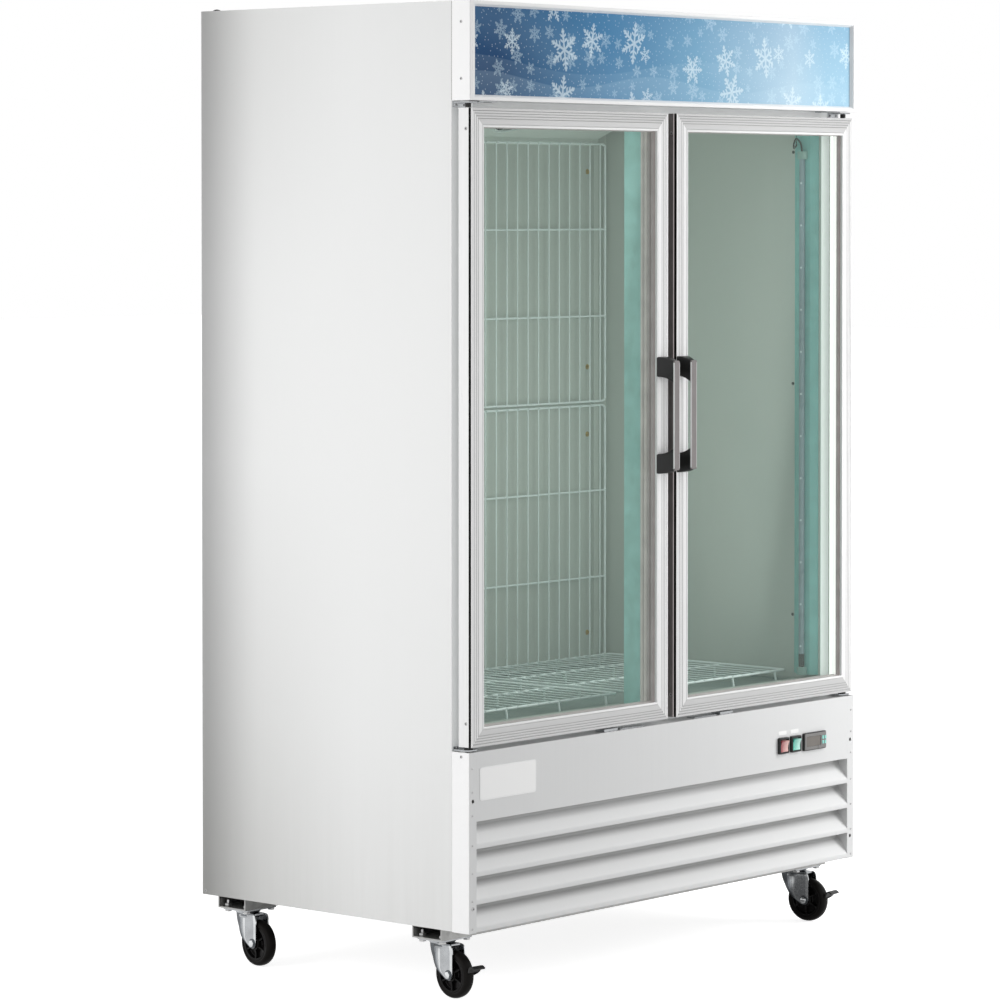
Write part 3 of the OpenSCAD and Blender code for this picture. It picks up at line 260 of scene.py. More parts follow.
class Nodes:
    """A short hand for building the node tree of one material, or of the world."""

    def __init__(self, name, world=False):
        self.owner = (bpy.data.worlds if world else bpy.data.materials).new(name)
        self.owner.use_nodes = True
        self.tree = self.owner.node_tree
        self.tree.nodes.clear()
        self.out = self.tree.nodes.new("ShaderNodeOutput" + ("World" if world else "Material"))
        self.coords = self.tree.nodes.new("ShaderNodeTexCoord").outputs["Object"]

    def put(self, socket, value):
        if isinstance(value, bpy.types.NodeSocket):
            self.tree.links.new(value, socket)
        elif value is not None:
            if socket.type == "RGBA" and len(value) == 3:
                value = (*value, 1.0)
            socket.default_value = value

    def node(self, kind, out=0, props=None, **sockets):
        n = self.tree.nodes.new("ShaderNode" + kind)
        for k, v in (props or {}).items():
            setattr(n, k, v)
        for k, v in sockets.items():
            self.put(n.inputs[int(k[1:])] if k[0] == "i" and k[1:].isdigit() else
                     n.inputs[k.replace("_", " ")], v)
        return n.outputs[out]

    def math(self, op, a, b=None):
        return self.node("Math", props={"operation": op}, i0=a, i1=b)

    def times(self, a, b):
        return self.math("MULTIPLY", a, b)

    def plus(self, a, b):
        return self.math("ADD", a, b)

    def minus(self, a, b):
        return self.math("SUBTRACT", a, b)

    def axis(self, k):
        return self.node("SeparateXYZ", k, i0=self.coords)

    def noise(self, scale, detail=2.0, rough=0.5, vector=None):
        return self.node("TexNoise", Vector=vector or self.coords, Scale=scale, Detail=detail,
                         Roughness=rough)

    def lines(self, stretch, detail=3, rough=0.6):
        """Noise drawn out along the axis of the smallest scale."""
        return self.noise(1.0, detail, rough, self.stretched(stretch))

    def stretched(self, scale):
        return self.node("Mapping", Vector=self.coords, Scale=scale)

    def ramp(self, fac, stops):
        n = self.tree.nodes.new("ShaderNodeValToRGB")
        self.put(n.inputs[0], fac)
        ramp = n.color_ramp
        while len(ramp.elements) < len(stops):
            ramp.elements.new(0.5)
        for e, (pos, col) in zip(ramp.elements, stops):
            e.position = pos
            col = (col,) * 3 if isinstance(col, (int, float)) else col
            e.color = (*col, 1.0)
        return n.outputs[0]

    def span(self, value, lo, hi, to_lo, to_hi):
        return self.node("MapRange", Value=value, From_Min=lo, From_Max=hi, To_Min=to_lo, To_Max=to_hi)

    def vary(self, noise, to_lo, to_hi):
        """The middle of a noise's range, spread over a wanted one."""
        return self.span(noise, 0.3, 0.7, to_lo, to_hi)

    def mix(self, fac, a, b):
        n = self.tree.nodes.new("ShaderNodeMix")
        n.data_type = "RGBA"
        self.put(n.inputs[0], fac)
        self.put(n.inputs[6], a)
        self.put(n.inputs[7], b)
        return n.outputs[2]

    def bump(self, height, strength, distance):
        return self.node("Bump", Height=height, Strength=strength, Distance=distance)

    def principled(self, colour, rough, metal=0.0, normal=None, **more):
        n = self.tree.nodes.new("ShaderNodeBsdfPrincipled")
        self.put(n.inputs["Base Color"], colour)
        self.put(n.inputs["Roughness"], rough)
        self.put(n.inputs["Metallic"], metal)
        self.put(n.inputs["Normal"], normal)
        for k, v in more.items():
            self.put(n.inputs[k.replace("_", " ")], v)
        return n.outputs[0]

    def done(self, shader):
        self.tree.links.new(shader, self.out.inputs["Surface"])
        return self.owner


def tone(c, k):
    return tuple(min(1.0, v * k) for v in c)


def grey(v):
    return (v, v, v)


def paint(name, colour, rough=0.35, coat=0.2, peel=0.05, uneven=0.01, low_streaks_and_corner_shade=0.0, glow=0.0, pitch=0.0):
    """Sprayed enamel on rolled sheet: faint upright lines and orange peel. It can be darker
    towards the bottom in streaks, and darker at the rear corners as painted shade. glow lifts
    the shaded surround of the doors as painted light, and pitch is the step of blades whose
    slopes are painted darker towards their tops, as painted shade under the blade above."""
    m = Nodes(name)
    roll = m.lines((150, 150, 0.7))
    col = m.mix(m.vary(roll, 0, 1), tone(colour, 1 - uneven), colour)
    col = m.mix(m.vary(m.noise(1.3, 2), 0, 1), col, tone(colour, 1 - uneven * 0.7))
    # darker towards the bottom in streaks; the rear corners below get painted shade
    if low_streaks_and_corner_shade:
        streaks = m.lines((60, 60, 3), 4)
        z = m.axis(2)
        low = m.times(m.span(z, 0.15, 0.55, low_streaks_and_corner_shade, 0.0), m.span(streaks, 0.3, 0.8, 0.5, 1))
        col = m.mix(low, col, (0.42, 0.41, 0.37))
        y = m.axis(1)
        # painted shade: darker at the rear, low down and near the top
        for z0, z1, much in ((1.1, 0.15, 3.6), (1.5, 2.06, 1.9)):
            corner_shade = m.times(m.span(z, z0, z1, 0.0, low_streaks_and_corner_shade * much), m.span(y, -0.05, 0.40, 0, 1))
            col = m.mix(corner_shade, col, (0.40, 0.40, 0.38))
    # painted shade: each blade slope is darker towards its top, under the blade above
    if pitch:
        z = m.axis(2)
        step = m.math("FRACT", m.math("DIVIDE", m.minus(z, 0.150), pitch))
        col = m.mix(m.span(step, 0.52, 0.92, 0.0, 0.60), col, (0.27, 0.27, 0.265))
    peel_h = m.noise(420, 2, 0.6)
    r = m.span(m.noise(4, 1), 0.2, 0.8, rough - 0.02, rough + 0.02)
    painted_glow_lift = 0.0
    # painted light: the paint glows though it is no lamp, most on the door jambs
    if glow:
        x = m.math("ABSOLUTE", m.axis(0))
        jamb = m.times(m.span(x, 0.606, 0.611, 0, 1), m.span(x, 0.646, 0.650, 1, 0))
        painted_glow_lift = m.math("MAXIMUM", m.times(jamb, glow), glow * 0.45)
    return m.done(m.principled(col, r, normal=m.bump(peel_h, peel, 0.0004), Emission_Color=col,
                               Emission_Strength=painted_glow_lift, Coat_Weight=coat, Coat_Roughness=0.18))


def brushed(name, colour, rough=0.3, along=(3, 900, 900), scratches=0.25, metal=1.0):
    """Metal with fine lines that run along the axis of the smallest scale."""
    m = Nodes(name)
    lines = m.lines(along)
    blot = m.noise(6, 3)
    col = m.mix(m.vary(lines, 0, 1), tone(colour, 0.955), tone(colour, 1.02))
    col = m.mix(m.span(blot, 0.3, 0.8, 0, 0.4), col, tone(colour, 0.96))
    r = m.plus(m.vary(lines, rough - 0.06, rough + 0.08),
               m.vary(blot, -0.03, 0.04))
    return m.done(m.principled(col, r, metal, m.bump(lines, scratches * 0.3, 0.0003)))


def galvanised(name, colour=(0.44, 0.44, 0.43)):
    """Zinc coated sheet with its crystal flakes."""
    m = Nodes(name)
    cells = m.node("TexVoronoi", 1, Vector=m.coords, Scale=95.0, Randomness=1.0)
    flake = m.node("SeparateColor", 0, i0=cells)
    soft = m.noise(35, 3)
    mixed = m.plus(m.times(flake, 0.6), m.times(soft, 0.4))
    col = m.ramp(mixed, [(0.1, tone(colour, 0.90)), (0.6, colour), (0.95, tone(colour, 1.09))])
    return m.done(m.principled(col, m.span(mixed, 0, 1, 0.5, 0.32), 0.9,
                               m.bump(mixed, 0.05, 0.0003)))


def zinc(name, colour=(0.74, 0.75, 0.76), rough=0.22):
    """Bright zinc plate with rub marks and dulled patches."""
    m = Nodes(name)
    cloud, rub = m.noise(45, 4), m.lines((160, 900, 160))
    col = m.mix(m.span(cloud, 0.35, 0.7, 0, 1), colour, tone(colour, 0.84))
    r = m.plus(m.vary(cloud, rough - 0.05, rough + 0.1),
               m.span(rub, 0.45, 0.7, 0, 0.08))
    return m.done(m.principled(col, r, 1.0, m.bump(rub, 0.06, 0.0002)))


def moulded(name, colour, rough=0.42, grain=1400, depth=0.12, coat=0.0, specular=0.5, glow=0.0):
    """Moulded plastic or rubber: a fine grain and slight wear in its gloss; glow makes it shine though it
    is no lamp, as painted light.
    """
    m = Nodes(name)
    g, wear_and_shade = m.noise(grain, 2), m.noise(30, 4)
    col = m.mix(m.span(wear_and_shade, 0.35, 0.75, 0, 0.6), colour, tone(colour, 1.35))
    r = m.vary(wear_and_shade, rough - 0.06, rough + 0.1)
    return m.done(m.principled(col, r, normal=m.bump(g, depth, 0.0003), Specular_IOR_Level=specular,
                               Emission_Color=col, Emission_Strength=glow,
                               Coat_Weight=coat, Coat_Roughness=0.15))


def lens(name, colour, glow, strength, x0=0.0, x1=0.0):
    """A ribbed plastic lens, darker at x0 and washed out towards x1 by a painted glare."""
    m = Nodes(name)
    ribs = m.node("TexWave", 0, {"bands_direction": "Z"}, Vector=m.coords, Scale=160.0, Distortion=0.4)
    col = m.mix(m.vary(m.noise(300, 3), 0, 0.3), colour, glow)
    # painted highlight: towards x1 the colour fades to a pale glare
    if x1:
        x = m.axis(0)
        col = m.mix(m.span(x, x0, x1, 0, 1), col, m.mix(m.vary(ribs, 0, 0.4), glow, (0.9, 0.9, 0.88)))
    return m.done(m.principled(col, 0.24, normal=m.bump(ribs, 0.3, 0.0004),
                               Emission_Color=col, Emission_Strength=strength,
                               Coat_Weight=0.5, Coat_Roughness=0.1))


def glass_pane(name):
    """Window glass that lets lamps through: tinted, with a slight mirror and faint smears."""
    m = Nodes(name)
    smear = m.lines((5, 5, 2), 4)
    tint = m.mix(m.span(smear, 0.35, 0.7, 0, 1), (0.972, 0.987, 0.977), (0.967, 0.984, 0.974))
    clear = m.node("BsdfTransparent", Color=tint)
    mirror = m.node("BsdfGlossy", Color=(0.9, 1.0, 0.97), Roughness=m.vary(smear, 0.02, 0.05))
    fac = m.node("Fresnel", IOR=1.12)
    return m.done(m.node("MixShader", i0=fac, i1=clear, i2=mirror))


def sheet_liner(name, colour):
    """Coated aluminium liner with faint rolled lines and small dents, darker on its floor as painted shade
    under the racks.
    """
    m = Nodes(name)
    roll = m.lines((90, 90, 1.5), 3, 0.5)
    dent = m.noise(9, 3)
    col = m.mix(m.vary(roll, 0, 1), tone(colour, 0.965), colour)
    col = m.mix(m.vary(m.noise(2.2, 3), 0, 0.5), col, tone(colour, 0.95))
    z = m.axis(2)
    # painted shade: the floor is drawn darker, as beneath the wire racks
    wear_and_shade = m.plus(m.span(z, 0.557, 0.566, 0.85, 0), m.vary(m.noise(14, 4), -0.12, 0.10))
    col = m.mix(m.times(wear_and_shade, m.span(z, 0.557, 0.62, 1, 0)), col, (0.13, 0.18, 0.172))
    return m.done(m.principled(col, m.vary(dent, 0.38, 0.5), 0.0,
                               m.bump(dent, 0.12, 0.003), Coat_Weight=0.15, Coat_Roughness=0.3))


def flakes(m, plane, cells, place, thin):
    """Six-armed snow crystals of mixed size and turn, one to a cell of the plane."""
    spread = m.node("Mapping", Vector=plane, Location=place, Scale=(cells, cells, cells))
    def cell(out):
        return m.node("TexVoronoi", out, {"voronoi_dimensions": "2D"}, Vector=spread, Scale=1.0,
                      Randomness=0.7)
    local = m.node("VectorMath", 0, {"operation": "SUBTRACT"}, i0=spread, i1=cell(2))
    size = m.span(m.node("SeparateColor", 0, i0=cell(1)), 0, 1, 0.16, 0.40)
    turn = m.times(m.node("SeparateColor", 1, i0=cell(1)), math.pi / 3)
    lx, ly = (m.node("SeparateXYZ", k, i0=local) for k in (0, 1))
    angle = m.math("PINGPONG", m.plus(m.math("ARCTAN2", ly, lx), turn), math.pi / 6)
    r = m.math("DIVIDE", m.node("VectorMath", 1, {"operation": "LENGTH"}, i0=local), size)
    along = m.times(r, m.math("COSINE", angle))
    across = m.times(r, m.math("SINE", angle))
    drawn = m.times(m.span(across, thin * 0.5, thin, 1, 0), m.span(along, 0.94, 1.0, 1, 0))
    for start, reach in ((0.34, 0.24), (0.58, 0.20), (0.78, 0.11)):
        off = m.minus(m.times(m.minus(along, start), 0.866), m.times(across, 0.5))
        line = m.span(m.math("ABSOLUTE", off), thin * 0.4, thin * 0.85, 1, 0)
        drawn = m.math("MAXIMUM", drawn, m.times(line, m.span(across, reach * 0.9, reach, 1, 0)))
    return drawn


def snow_print(name):
    """The printed sign: dusk blue to pale blue, with snow crystals over rounded drifts."""
    m = Nodes(name)
    x, z = (m.axis(k) for k in (0, 2))
    plane = m.node("CombineXYZ", 0, X=x, Y=z)
    across = m.plus(m.span(x, -0.66, 0.66, 0, 1), m.times(m.noise(2.4, 3), 0.16))
    up = m.span(z, 1.883, 2.065, 0, 1)
    sky = m.ramp(across, [(0.12, (0.004, 0.048, 0.145)), (0.42, (0.056, 0.21, 0.40)),
                          (0.68, (0.19, 0.40, 0.58)), (0.90, (0.46, 0.64, 0.77)),
                          (1.0, (0.34, 0.57, 0.73))])
    slant = m.math("SINE", m.plus(m.times(x, 6.3), m.times(z, 21.0)))
    sky = m.mix(m.span(slant, 0.0, 1.0, 0, 0.06), sky, (0.52, 0.72, 0.84))
    sky = m.mix(m.span(up, 0.35, 1.0, 0, 0.22), sky, (0.05, 0.21, 0.42))
    col = sky
    for wave, start, base, swell, white in ((7.5, 0.6, 0.38, 0.10, 0.06), (11.0, 2.2, 0.20, 0.08, 0.10)):
        swing = m.math("SINE", m.plus(m.times(x, wave), start))
        crest = m.plus(m.times(swing, swell), base)
        depth = m.minus(crest, up)
        soft = m.times(m.span(depth, 0.0, 0.012, 0, 1), m.span(depth, 0.0, 0.4, white, white * 0.35))
        col = m.mix(soft, col, (0.62, 0.82, 0.92))
    glint = m.node("TexVoronoi", 0, {"voronoi_dimensions": "2D"}, Vector=plane, Scale=70.0, Randomness=1.0)
    col = m.mix(m.span(glint, 0.05, 0.12, 0.35, 0), col, (0.78, 0.90, 0.96))
    col = m.mix(m.times(flakes(m, plane, 17.0, (0.31, 0.12, 0), 0.10), 0.30), col, (0.66, 0.84, 0.94))
    col = m.mix(m.times(flakes(m, plane, 8.5, (0.77, 0.40, 0), 0.075), 0.52), col, (0.80, 0.92, 0.97))
    return m.done(m.principled(col, 0.34, normal=m.bump(m.noise(60, 2), 0.02, 0.0006),
                               Specular_IOR_Level=0.15, Emission_Color=col, Emission_Strength=0.05))


M = {
    # the side, front and blade paints are darker at the rear corners as painted shade
    "side": paint("side_enamel", (0.86, 0.865, 0.86), 0.34, 0.25, 0.05, 0.008, 0.16),
    "front": paint("front_enamel", (0.735, 0.74, 0.74), 0.30, 0.25, 0.04, 0.02, 0.03),
    # the blades carry a painted shade under each lip
    "blade": paint("blade_enamel", (0.76, 0.765, 0.765), 0.30, 0.25, 0.04, 0.02, 0.03,
                   pitch=BLADE_PITCH * 0.001),
    "plate": paint("plate_enamel", (0.97, 0.97, 0.965), 0.25, 0.4, 0.02),
    # the cap and frame paints glow as painted light, the frame most on its door jambs
    "cap": paint("cap_enamel", grey(0.97), 0.3, 0.3, 0.05, 0.01, 0.0, 0.08),
    "frame": paint("frame_enamel", (0.88, 0.90, 0.90), 0.4, 0.1, 0.05, 0.01, 0.0, 0.38),
    "sign_frame": paint("sign_frame_coat", grey(0.94), 0.32, 0.25),
    "wire": paint("wire_coat", (0.90, 0.955, 0.965), 0.3, 0.4, 0.08),
    "black_paint": paint("black_enamel", (0.03, 0.03, 0.033), 0.38, 0.3, 0.1),
    "dark_fins": paint("dark_fins_enamel", (0.06, 0.065, 0.07), 0.5, 0.0),
    "liner": sheet_liner("liner_coat", (0.575, 0.61, 0.575)),
    "cover": sheet_liner("cover_coat", (0.76, 0.80, 0.765)),
    "mullion": sheet_liner("mullion_cover", (0.86, 0.82, 0.82)),
    "throat": moulded("throat_strip", (0.44, 0.76, 0.73), 0.4, 700, 0.05),
    "alu": brushed("door_aluminium", grey(0.88), 0.34, (500, 500, 3), 0.12, 0.3),
    # the rails are a darker copy of the door aluminium: painted shade
    "alu_shaded_rail": brushed("door_aluminium_rail_shaded", grey(0.63), 0.34, (3, 500, 500), 0.12, 0.5),
    "bright": paint("bright_trim", grey(0.94), 0.24, 0.6, 0.01),
    "galv": galvanised("galvanised_sheet"),
    "zinc": zinc("bright_zinc", (0.50, 0.515, 0.53), 0.20),
    # lit and shaded copies of the zinc, for painted light and shade on the forks
    "zinc_shade": zinc("shaded_zinc", (0.13, 0.14, 0.15), 0.24),
    "zinc_half_shade": zinc("half_shaded_zinc", (0.30, 0.32, 0.34), 0.22),
    "zinc_lit": zinc("painted_highlight_zinc_edge", (0.80, 0.82, 0.83), 0.18),
    "steel": zinc("screw_steel", grey(0.62), 0.3),
    "brass": zinc("brass_screw", (0.62, 0.44, 0.18), 0.35),
    "fins": brushed("mill_fins", (0.72, 0.74, 0.75), 0.35, (400, 400, 4), 0.3),
    "copper": zinc("copper_tube", (0.72, 0.36, 0.22), 0.3),
    "black": moulded("black_moulding", grey(0.016), 0.36, 1400, 0.12, 0.0, 0.4),
    "grip": moulded("grip_inlay", (0.215, 0.198, 0.196), 0.5, 900, 0.08),
    "gasket": moulded("gasket_rubber", (0.25, 0.24, 0.235), 0.55, 500, 0.1),
    # these glow though they are no lamp: painted light that lifts the shaded glass pockets
    "spacer": moulded("brown_grey_spacer", (0.41, 0.37, 0.37), 0.5, 500, 0.05, 0.0, 0.5, 0.14),
    "pocket": moulded("glass_pocket", (0.42, 0.385, 0.38), 0.5, 500, 0.05, 0.0, 0.5, 0.50),
    "spacer_white": lens("white_spacer", (0.90, 0.90, 0.89), (0.95, 0.95, 0.94), 0.80),
    # dark seams, and painted shade on the handle side of the doors
    "dark_seam_and_edge_shade": moulded("door_edge_shade_and_seam", (0.19, 0.18, 0.175), 0.55, 500, 0.08),
    # darker in the reed valleys: painted shade
    "reed": brushed("shaded_reed_valleys", grey(0.40), 0.4, (300, 300, 300), 0.1, 0.3),
    # drawn black as painted shade in the door groove
    "groove": moulded("shaded_groove_strip", grey(0.012), 0.6, 500, 0.08),
    "bezel": moulded("controller_bezel", (0.17, 0.165, 0.16), 0.3, 900, 0.06, 0.3),
    "tyre": moulded("tyre_rubber", (0.009, 0.008, 0.0075), 0.34, 260, 0.08, 0.0, 0.08),
    "hub": moulded("hub_plastic", (0.006, 0.0055, 0.0055), 0.2, 500, 0.04, 0.0, 0.15),
    "foam": moulded("foam", (0.80, 0.70, 0.42), 0.9, 240, 0.5),
    # the red and green rockers carry a painted glare across x
    "red": lens("red_lens", (0.26, 0.015, 0.03), (0.66, 0.33, 0.29), 0.08, 0.391, 0.412),
    "green": lens("green_lens", (0.02, 0.40, 0.30), (0.36, 0.74, 0.64), 0.08, 0.436, 0.459),
    "key": lens("key_rubber", (0.22, 0.62, 0.54), (0.40, 0.80, 0.70), 0.1),
    "glass": glass_pane("insulated_glass"),
    "sign": snow_print("snow_print"),
    "lamp_shell": moulded("lamp_shell", (0.215, 0.51, 0.49), 0.4, 500, 0.04, 0.1),
    "lamp_tube": moulded("lamp_tube_glass", (0.26, 0.34, 0.39), 0.3, 300, 0.03, 0.2),
    "lamp_cap": moulded("lamp_cap", (0.27, 0.42, 0.39), 0.4, 500, 0.04),
    "led": lens("led_chip", (0.62, 0.72, 0.78), (0.75, 0.84, 0.88), 0.05),
    "display": moulded("display_window", (0.125, 0.11, 0.095), 0.12, 200, 0.02, 0.6),
}

# The nodes that no piece replaces
for node, key in {
    "left_side_panel": "side", "right_side_panel": "side", "back_panel": "galv", "top_panel": "side",
    "base_frame": "galv", "foam_insulation": "foam", "inner_liner": "liner", "face_frame": "frame",
    "sign_panel": "sign", "trim_covers": "cap", "control_panel": "front", "grille_uprights": "front",
    "evaporator_cover": "cover", "evaporator_coil": "fins", "fan_motors": "black_paint",
    "condenser_coil": "dark_fins", "condenser_shroud": "galv", "compressor": "black_paint",
    "refrigerant_lines": "copper", "black_grommets": "black",
}.items():
    mesh = NODES[node].data
    mesh.materials.clear()
    mesh.materials.append(M[key])

# ------------------------------------------------------------------ header and lower front

Shape().rim([(0, 50), (0, 0.8), (0.8, 0), (6.4, 0), (7.0, 1.0), (7.8, 1.0), (12, 7.9),
             (1.6, 7.9), (1.6, 50)], -SKIN_X, SKIN_X, HEADER_Z, CAB_H).build(
    "sign_frame_rails", "sign_frame", "cabinet", "sign_frame", ["sign_frame"])
lip = Shape().along_z([(-662.6, 8), (-666, 1.6), (-665.2, 1.02), (-658, 1.02), (-657.2, 1.6),
                       (-656.4, 7.95)], HEADER_Z + 8, CAB_H - 8)
lip.build("sign_left_lip", "sign_frame", "cabinet", "sign_frame")

blades = Shape()
for i in range(BLADES):
    outline = folded_sheet([(9, 0.6), (0.6, 0.6), (0.6, 11), (26, 46.6), (26, 56)], 1.2, 2.4)
    z0 = FRONT_Z + i * BLADE_PITCH
    blades.along_x([(3 + y, z0 + z) for y, z in outline], -UPRIGHT_X, UPRIGHT_X)
blades.build("louvres", "blade", "cabinet", "front_white", ["louvre_blades"])

plate = Shape().along_y(rounded(-641, -461, 423, 492, 6), 2.3, 2.95)
plate.along_y(rounded(-638, -464, 426, 489, 5), 2.15, 2.35, 1)
for x in (RED_X, GREEN_X):
    plate.along_y(rounded(x - 15, x + 15, CTL_Z + 24, CTL_Z + 33, 1.5), 2.6, 2.95, 1)
plate.build("bare_plate", ["bright", "plate"], "cabinet", "front_white", bevel=0.12)

panel_parts = Shape()
for x in (RED_X, GREEN_X):
    a, b, c, d = case = x - SW_W / 2, x + SW_W / 2, CTL_Z - SW_H / 2, CTL_Z + SW_H / 2
    outer, lip, inner = inset(case, 0, 3), inset(case, 1.4, 2.4), inset(case, 4, 1.5)
    panel_parts.stack([(outer, 2.95), (outer, -2.4), (lip, CTL_FRONT), (inner, CTL_FRONT),
                       (inner, 14)], caps=False)
    panel_parts.box(a + 2.1, b - 2.1, 14, 27, c + 2.1, d - 2.1)
a, b, c, d = case = CTL_X - CTL_W / 2, CTL_X + CTL_W / 2, CTL_Z - CTL_H / 2, CTL_Z + CTL_H / 2
outer, lip = inset(case, 0, 3), inset(case, 1.8, 2.2)
window = rounded(a + 8, BUTTON_X - 7, c + 8, d - 8, 1.5)
deep = rounded(a + 9, BUTTON_X - 8, c + 9, d - 9, 1.0)
panel_parts.stack([(outer, 2.95), (outer, -2.2), (lip, -3.2)], caps=False)
panel_parts.stack([(lip, -3.2), (lip, CTL_FRONT), (window, CTL_FRONT), (deep, -2.4)], 2, False)
panel_parts.along_y(deep, -2.5, 0.5, 1)
panel_parts.box(a + 3.1, b - 3.1, 2.9, 47, c + 3.1, d - 3.1)
panel_parts.box(420, 560, 600, 690, 152.55, 272.5)
panel_parts.build("switch_cases", ["black", "display", "bezel"], "cabinet", "black_plastic",
                  ["control_modules"], bevel=0.25)

for side, x in (("red", RED_X), ("green", GREEN_X)):
    half, width = SW_H / 2 - 6, (SW_W - 8) / 2 - 0.3
    front = [(-7.4 - 2.6 * (t / 6) ** 2, half * t / 6) for t in range(-6, 7)]
    outline = front + [(3, half), (4, 0), (3, -half)]
    tilt = math.radians(9)
    turned = [(y * math.cos(tilt) - z * math.sin(tilt), y * math.sin(tilt) + z * math.cos(tilt))
              for y, z in outline]
    cap = Shape().along_x([(CTL_FRONT + 8 + y, CTL_Z + z) for y, z in turned], x - width, x + width)
    cap.build(f"{side}_rocker_lens", side, f"{side}_switch", f"{side}_plastic",
              [f"{side}_rocker"], bevel=0.7, segments=3)

for name, i, j in (("up", 0, 1), ("down", 0, 0), ("set", 1, 1), ("defrost", 1, 0)):
    x, z = BUTTON_X + 9 * i, CTL_Z - 5 + 11 * j
    key = Shape().along_y(rounded(x - 3, x + 3, z - 4, z + 4, 1.2), CTL_FRONT - 0.9, -0.1)
    key.build(f"key_cap_{name}", "key", f"key_{name}", "button", [f"button_{name}"],
              bevel=0.5, segments=3)


def screw_head(shape, centre, axis, r, tall, cross=True):
    """A domed head with a cross recess, standing on centre along axis."""
    dome = [(0, r), (tall * 0.45, r * 0.97), (tall * 0.8, r * 0.75), (tall, r * 0.4), (tall, 0.05)]
    shape.lathe(dome, centre, axis, 20)
    if cross:
        w = Vector(axis).normalized()
        u = w.orthogonal().normalized()
        turn = random.uniform(0, math.pi / 2)
        for k in (0, 1):
            a = turn + k * math.pi / 2
            v = u * math.cos(a) + w.cross(u) * math.sin(a)
            n = w.cross(v)
            c = Vector(centre) + w * (tall + 0.04)
            ring = [c + v * s * r * 0.55 + n * t * r * 0.13
                    for s, t in ((-1, -1), (1, -1), (1, 1), (-1, 1))]
            # the cross recess takes the black material: painted shade
            shape.loft([[p - w * 0.6 for p in ring], ring], 1)


screws = Shape()
cap_screws, guard_screws, wall_screws = (1916, 2033, 516), (1737, 1271, 1110, 635), (1779, 1244, 709)
rivets = [394, 443, 492] + [FRONT_Z + BLADE_PITCH * i + 9 for i in range(BLADES)]
for s in (-1, 1):
    for z in cap_screws:
        screw_head(screws, (s * (HALF_W + GAP), 24, z), (s, 0, 0), 3.4, 1.35)
    for z in rivets:
        screw_head(screws, (s * 664, 3, z), (0, -1, 0), 2.2, 1.7, False)
    for x in (639, 663):
        for z in (532.6, 1862):
            screw_head(screws, (s * x, 47, z), (0, -1, 0), 2.3, 1.7)
    for z in guard_screws:
        screws.lathe([(0, 6.4), (0.8, 6.2), (1.4, 3.6), (3.4, 3.3), (4.0, 2.2), (4.2, 0.1)],
                     (s * 541, LINER_BACK - 0.1, z), (0, -1, 0), 20, 2)
    screw_head(screws, (s * (HALF_W + GAP), 766, 159), (s, 0, 0), 2.6, 1.2)
    for z in wall_screws:
        screws.lathe([(0, 3.8), (1.2, 3.4), (2.2, 1.8), (2.4, 0.1)], (s * (LINER_X - 0.1), 131, z),
                     (-s, 0, 0), 16, 1)
screw_head(screws, (-662, 3, 201), (0, -1, 0), 4.6, 1.75)
for x, y, _ in CASTERS.values():
    for dx in (-BOLT_DX, BOLT_DX):
        for dy in (-BOLT_DY, BOLT_DY):
            for z0, z1 in ((116.9, 121.9), (129.1, 135)):
                screws.lathe([(0, 7.2), (0.6, 8), (z1 - z0 - 0.8, 8), (z1 - z0, 7.0)],
                             (x + dx, y + dy, z0), (0, 0, 1), 6)
            screws.lathe([(0, 3.9), (25, 3.9)], (x + dx, y + dy, 117), (0, 0, 1), 14)
screws.build("fasteners", ["steel", "black", "brass"], "cabinet", "zinc", ["screws"])

plugs = Shape()
for s in (-1, 1):
    for y in CASTER_Y:
        plugs.lathe([(-0.9, 2.9), (0.05, 2.9), (0.05, 3.8), (0.25, 3.6), (0.35, 2.8), (0.35, 0.1)],
                    (s * HALF_W, y, 164), (s, 0, 0), 24)
    a, b = sorted((s * 674.6, s * 675.15))
    plugs.box(a, b, 49.3, 50.3, HEADER_Z + 1, CAB_H - 1.5, 1)
plugs.build("side_plugs_and_seams", ["side", "dark_seam_and_edge_shade"], "cabinet", "white_paint")

hardware = Shape()
for s in (-1, 1):
    side = Shape()
    for z0 in (BRACKET_LOW, BRACKET_TOP):
        outline = ([(633, 49.9), (633, 20)] + arc(645, 20, 12, 180, 270, 4)
                   + arc(661, 19, 11, 270, 360, 4) + [(672, 49.9)])
        side.along_z(outline, z0, z0 + 3)
    side.box(633, 672, 47.1, 49.9, 529, 535).box(633, 672, 47.1, 49.9, 1857, 1866.5)
    side.lathe([(0, 9), (7.0, 9), (7.6, 8.4)], (PIN_X, PIN_Y, BRACKET_LOW), (0, 0, 1), 24, 1)
    side.lathe([(0, 4), (22, 4), (22.6, 3.4)], (PIN_X, PIN_Y, BRACKET_LOW), (0, 0, 1), 20)
    side.lathe([(0, 3.4), (0.6, 4), (25, 4)], (PIN_X, PIN_Y, 1842), (0, 0, 1), 20)
    side.lathe([(0, 6.2), (8.6, 6.2)], (PIN_X, PIN_Y, 1857), (0, 0, 1), 24, 1)
    side.along_z(rounded(574, 631, 10, 44, 4), 1868.4, 1870.9)
    side.along_z(rounded(594, 618, 9.4, 13, 1.6), 1867.6, 1868.5, 1)
    side.along_z(rounded(90, 170, 10, 34, 3), 525.05, 527.5)
    side.along_z(rounded(180, 226, 8, 36, 3), 525.05, 531)
    hardware.join(side if s > 0 else side.mirrored())
hardware.build("hinge_brackets", ["zinc", "black"], "cabinet", "zinc", ["door_hardware"],
               bevel=0.3)

# ------------------------------------------------------------------ doors and handles

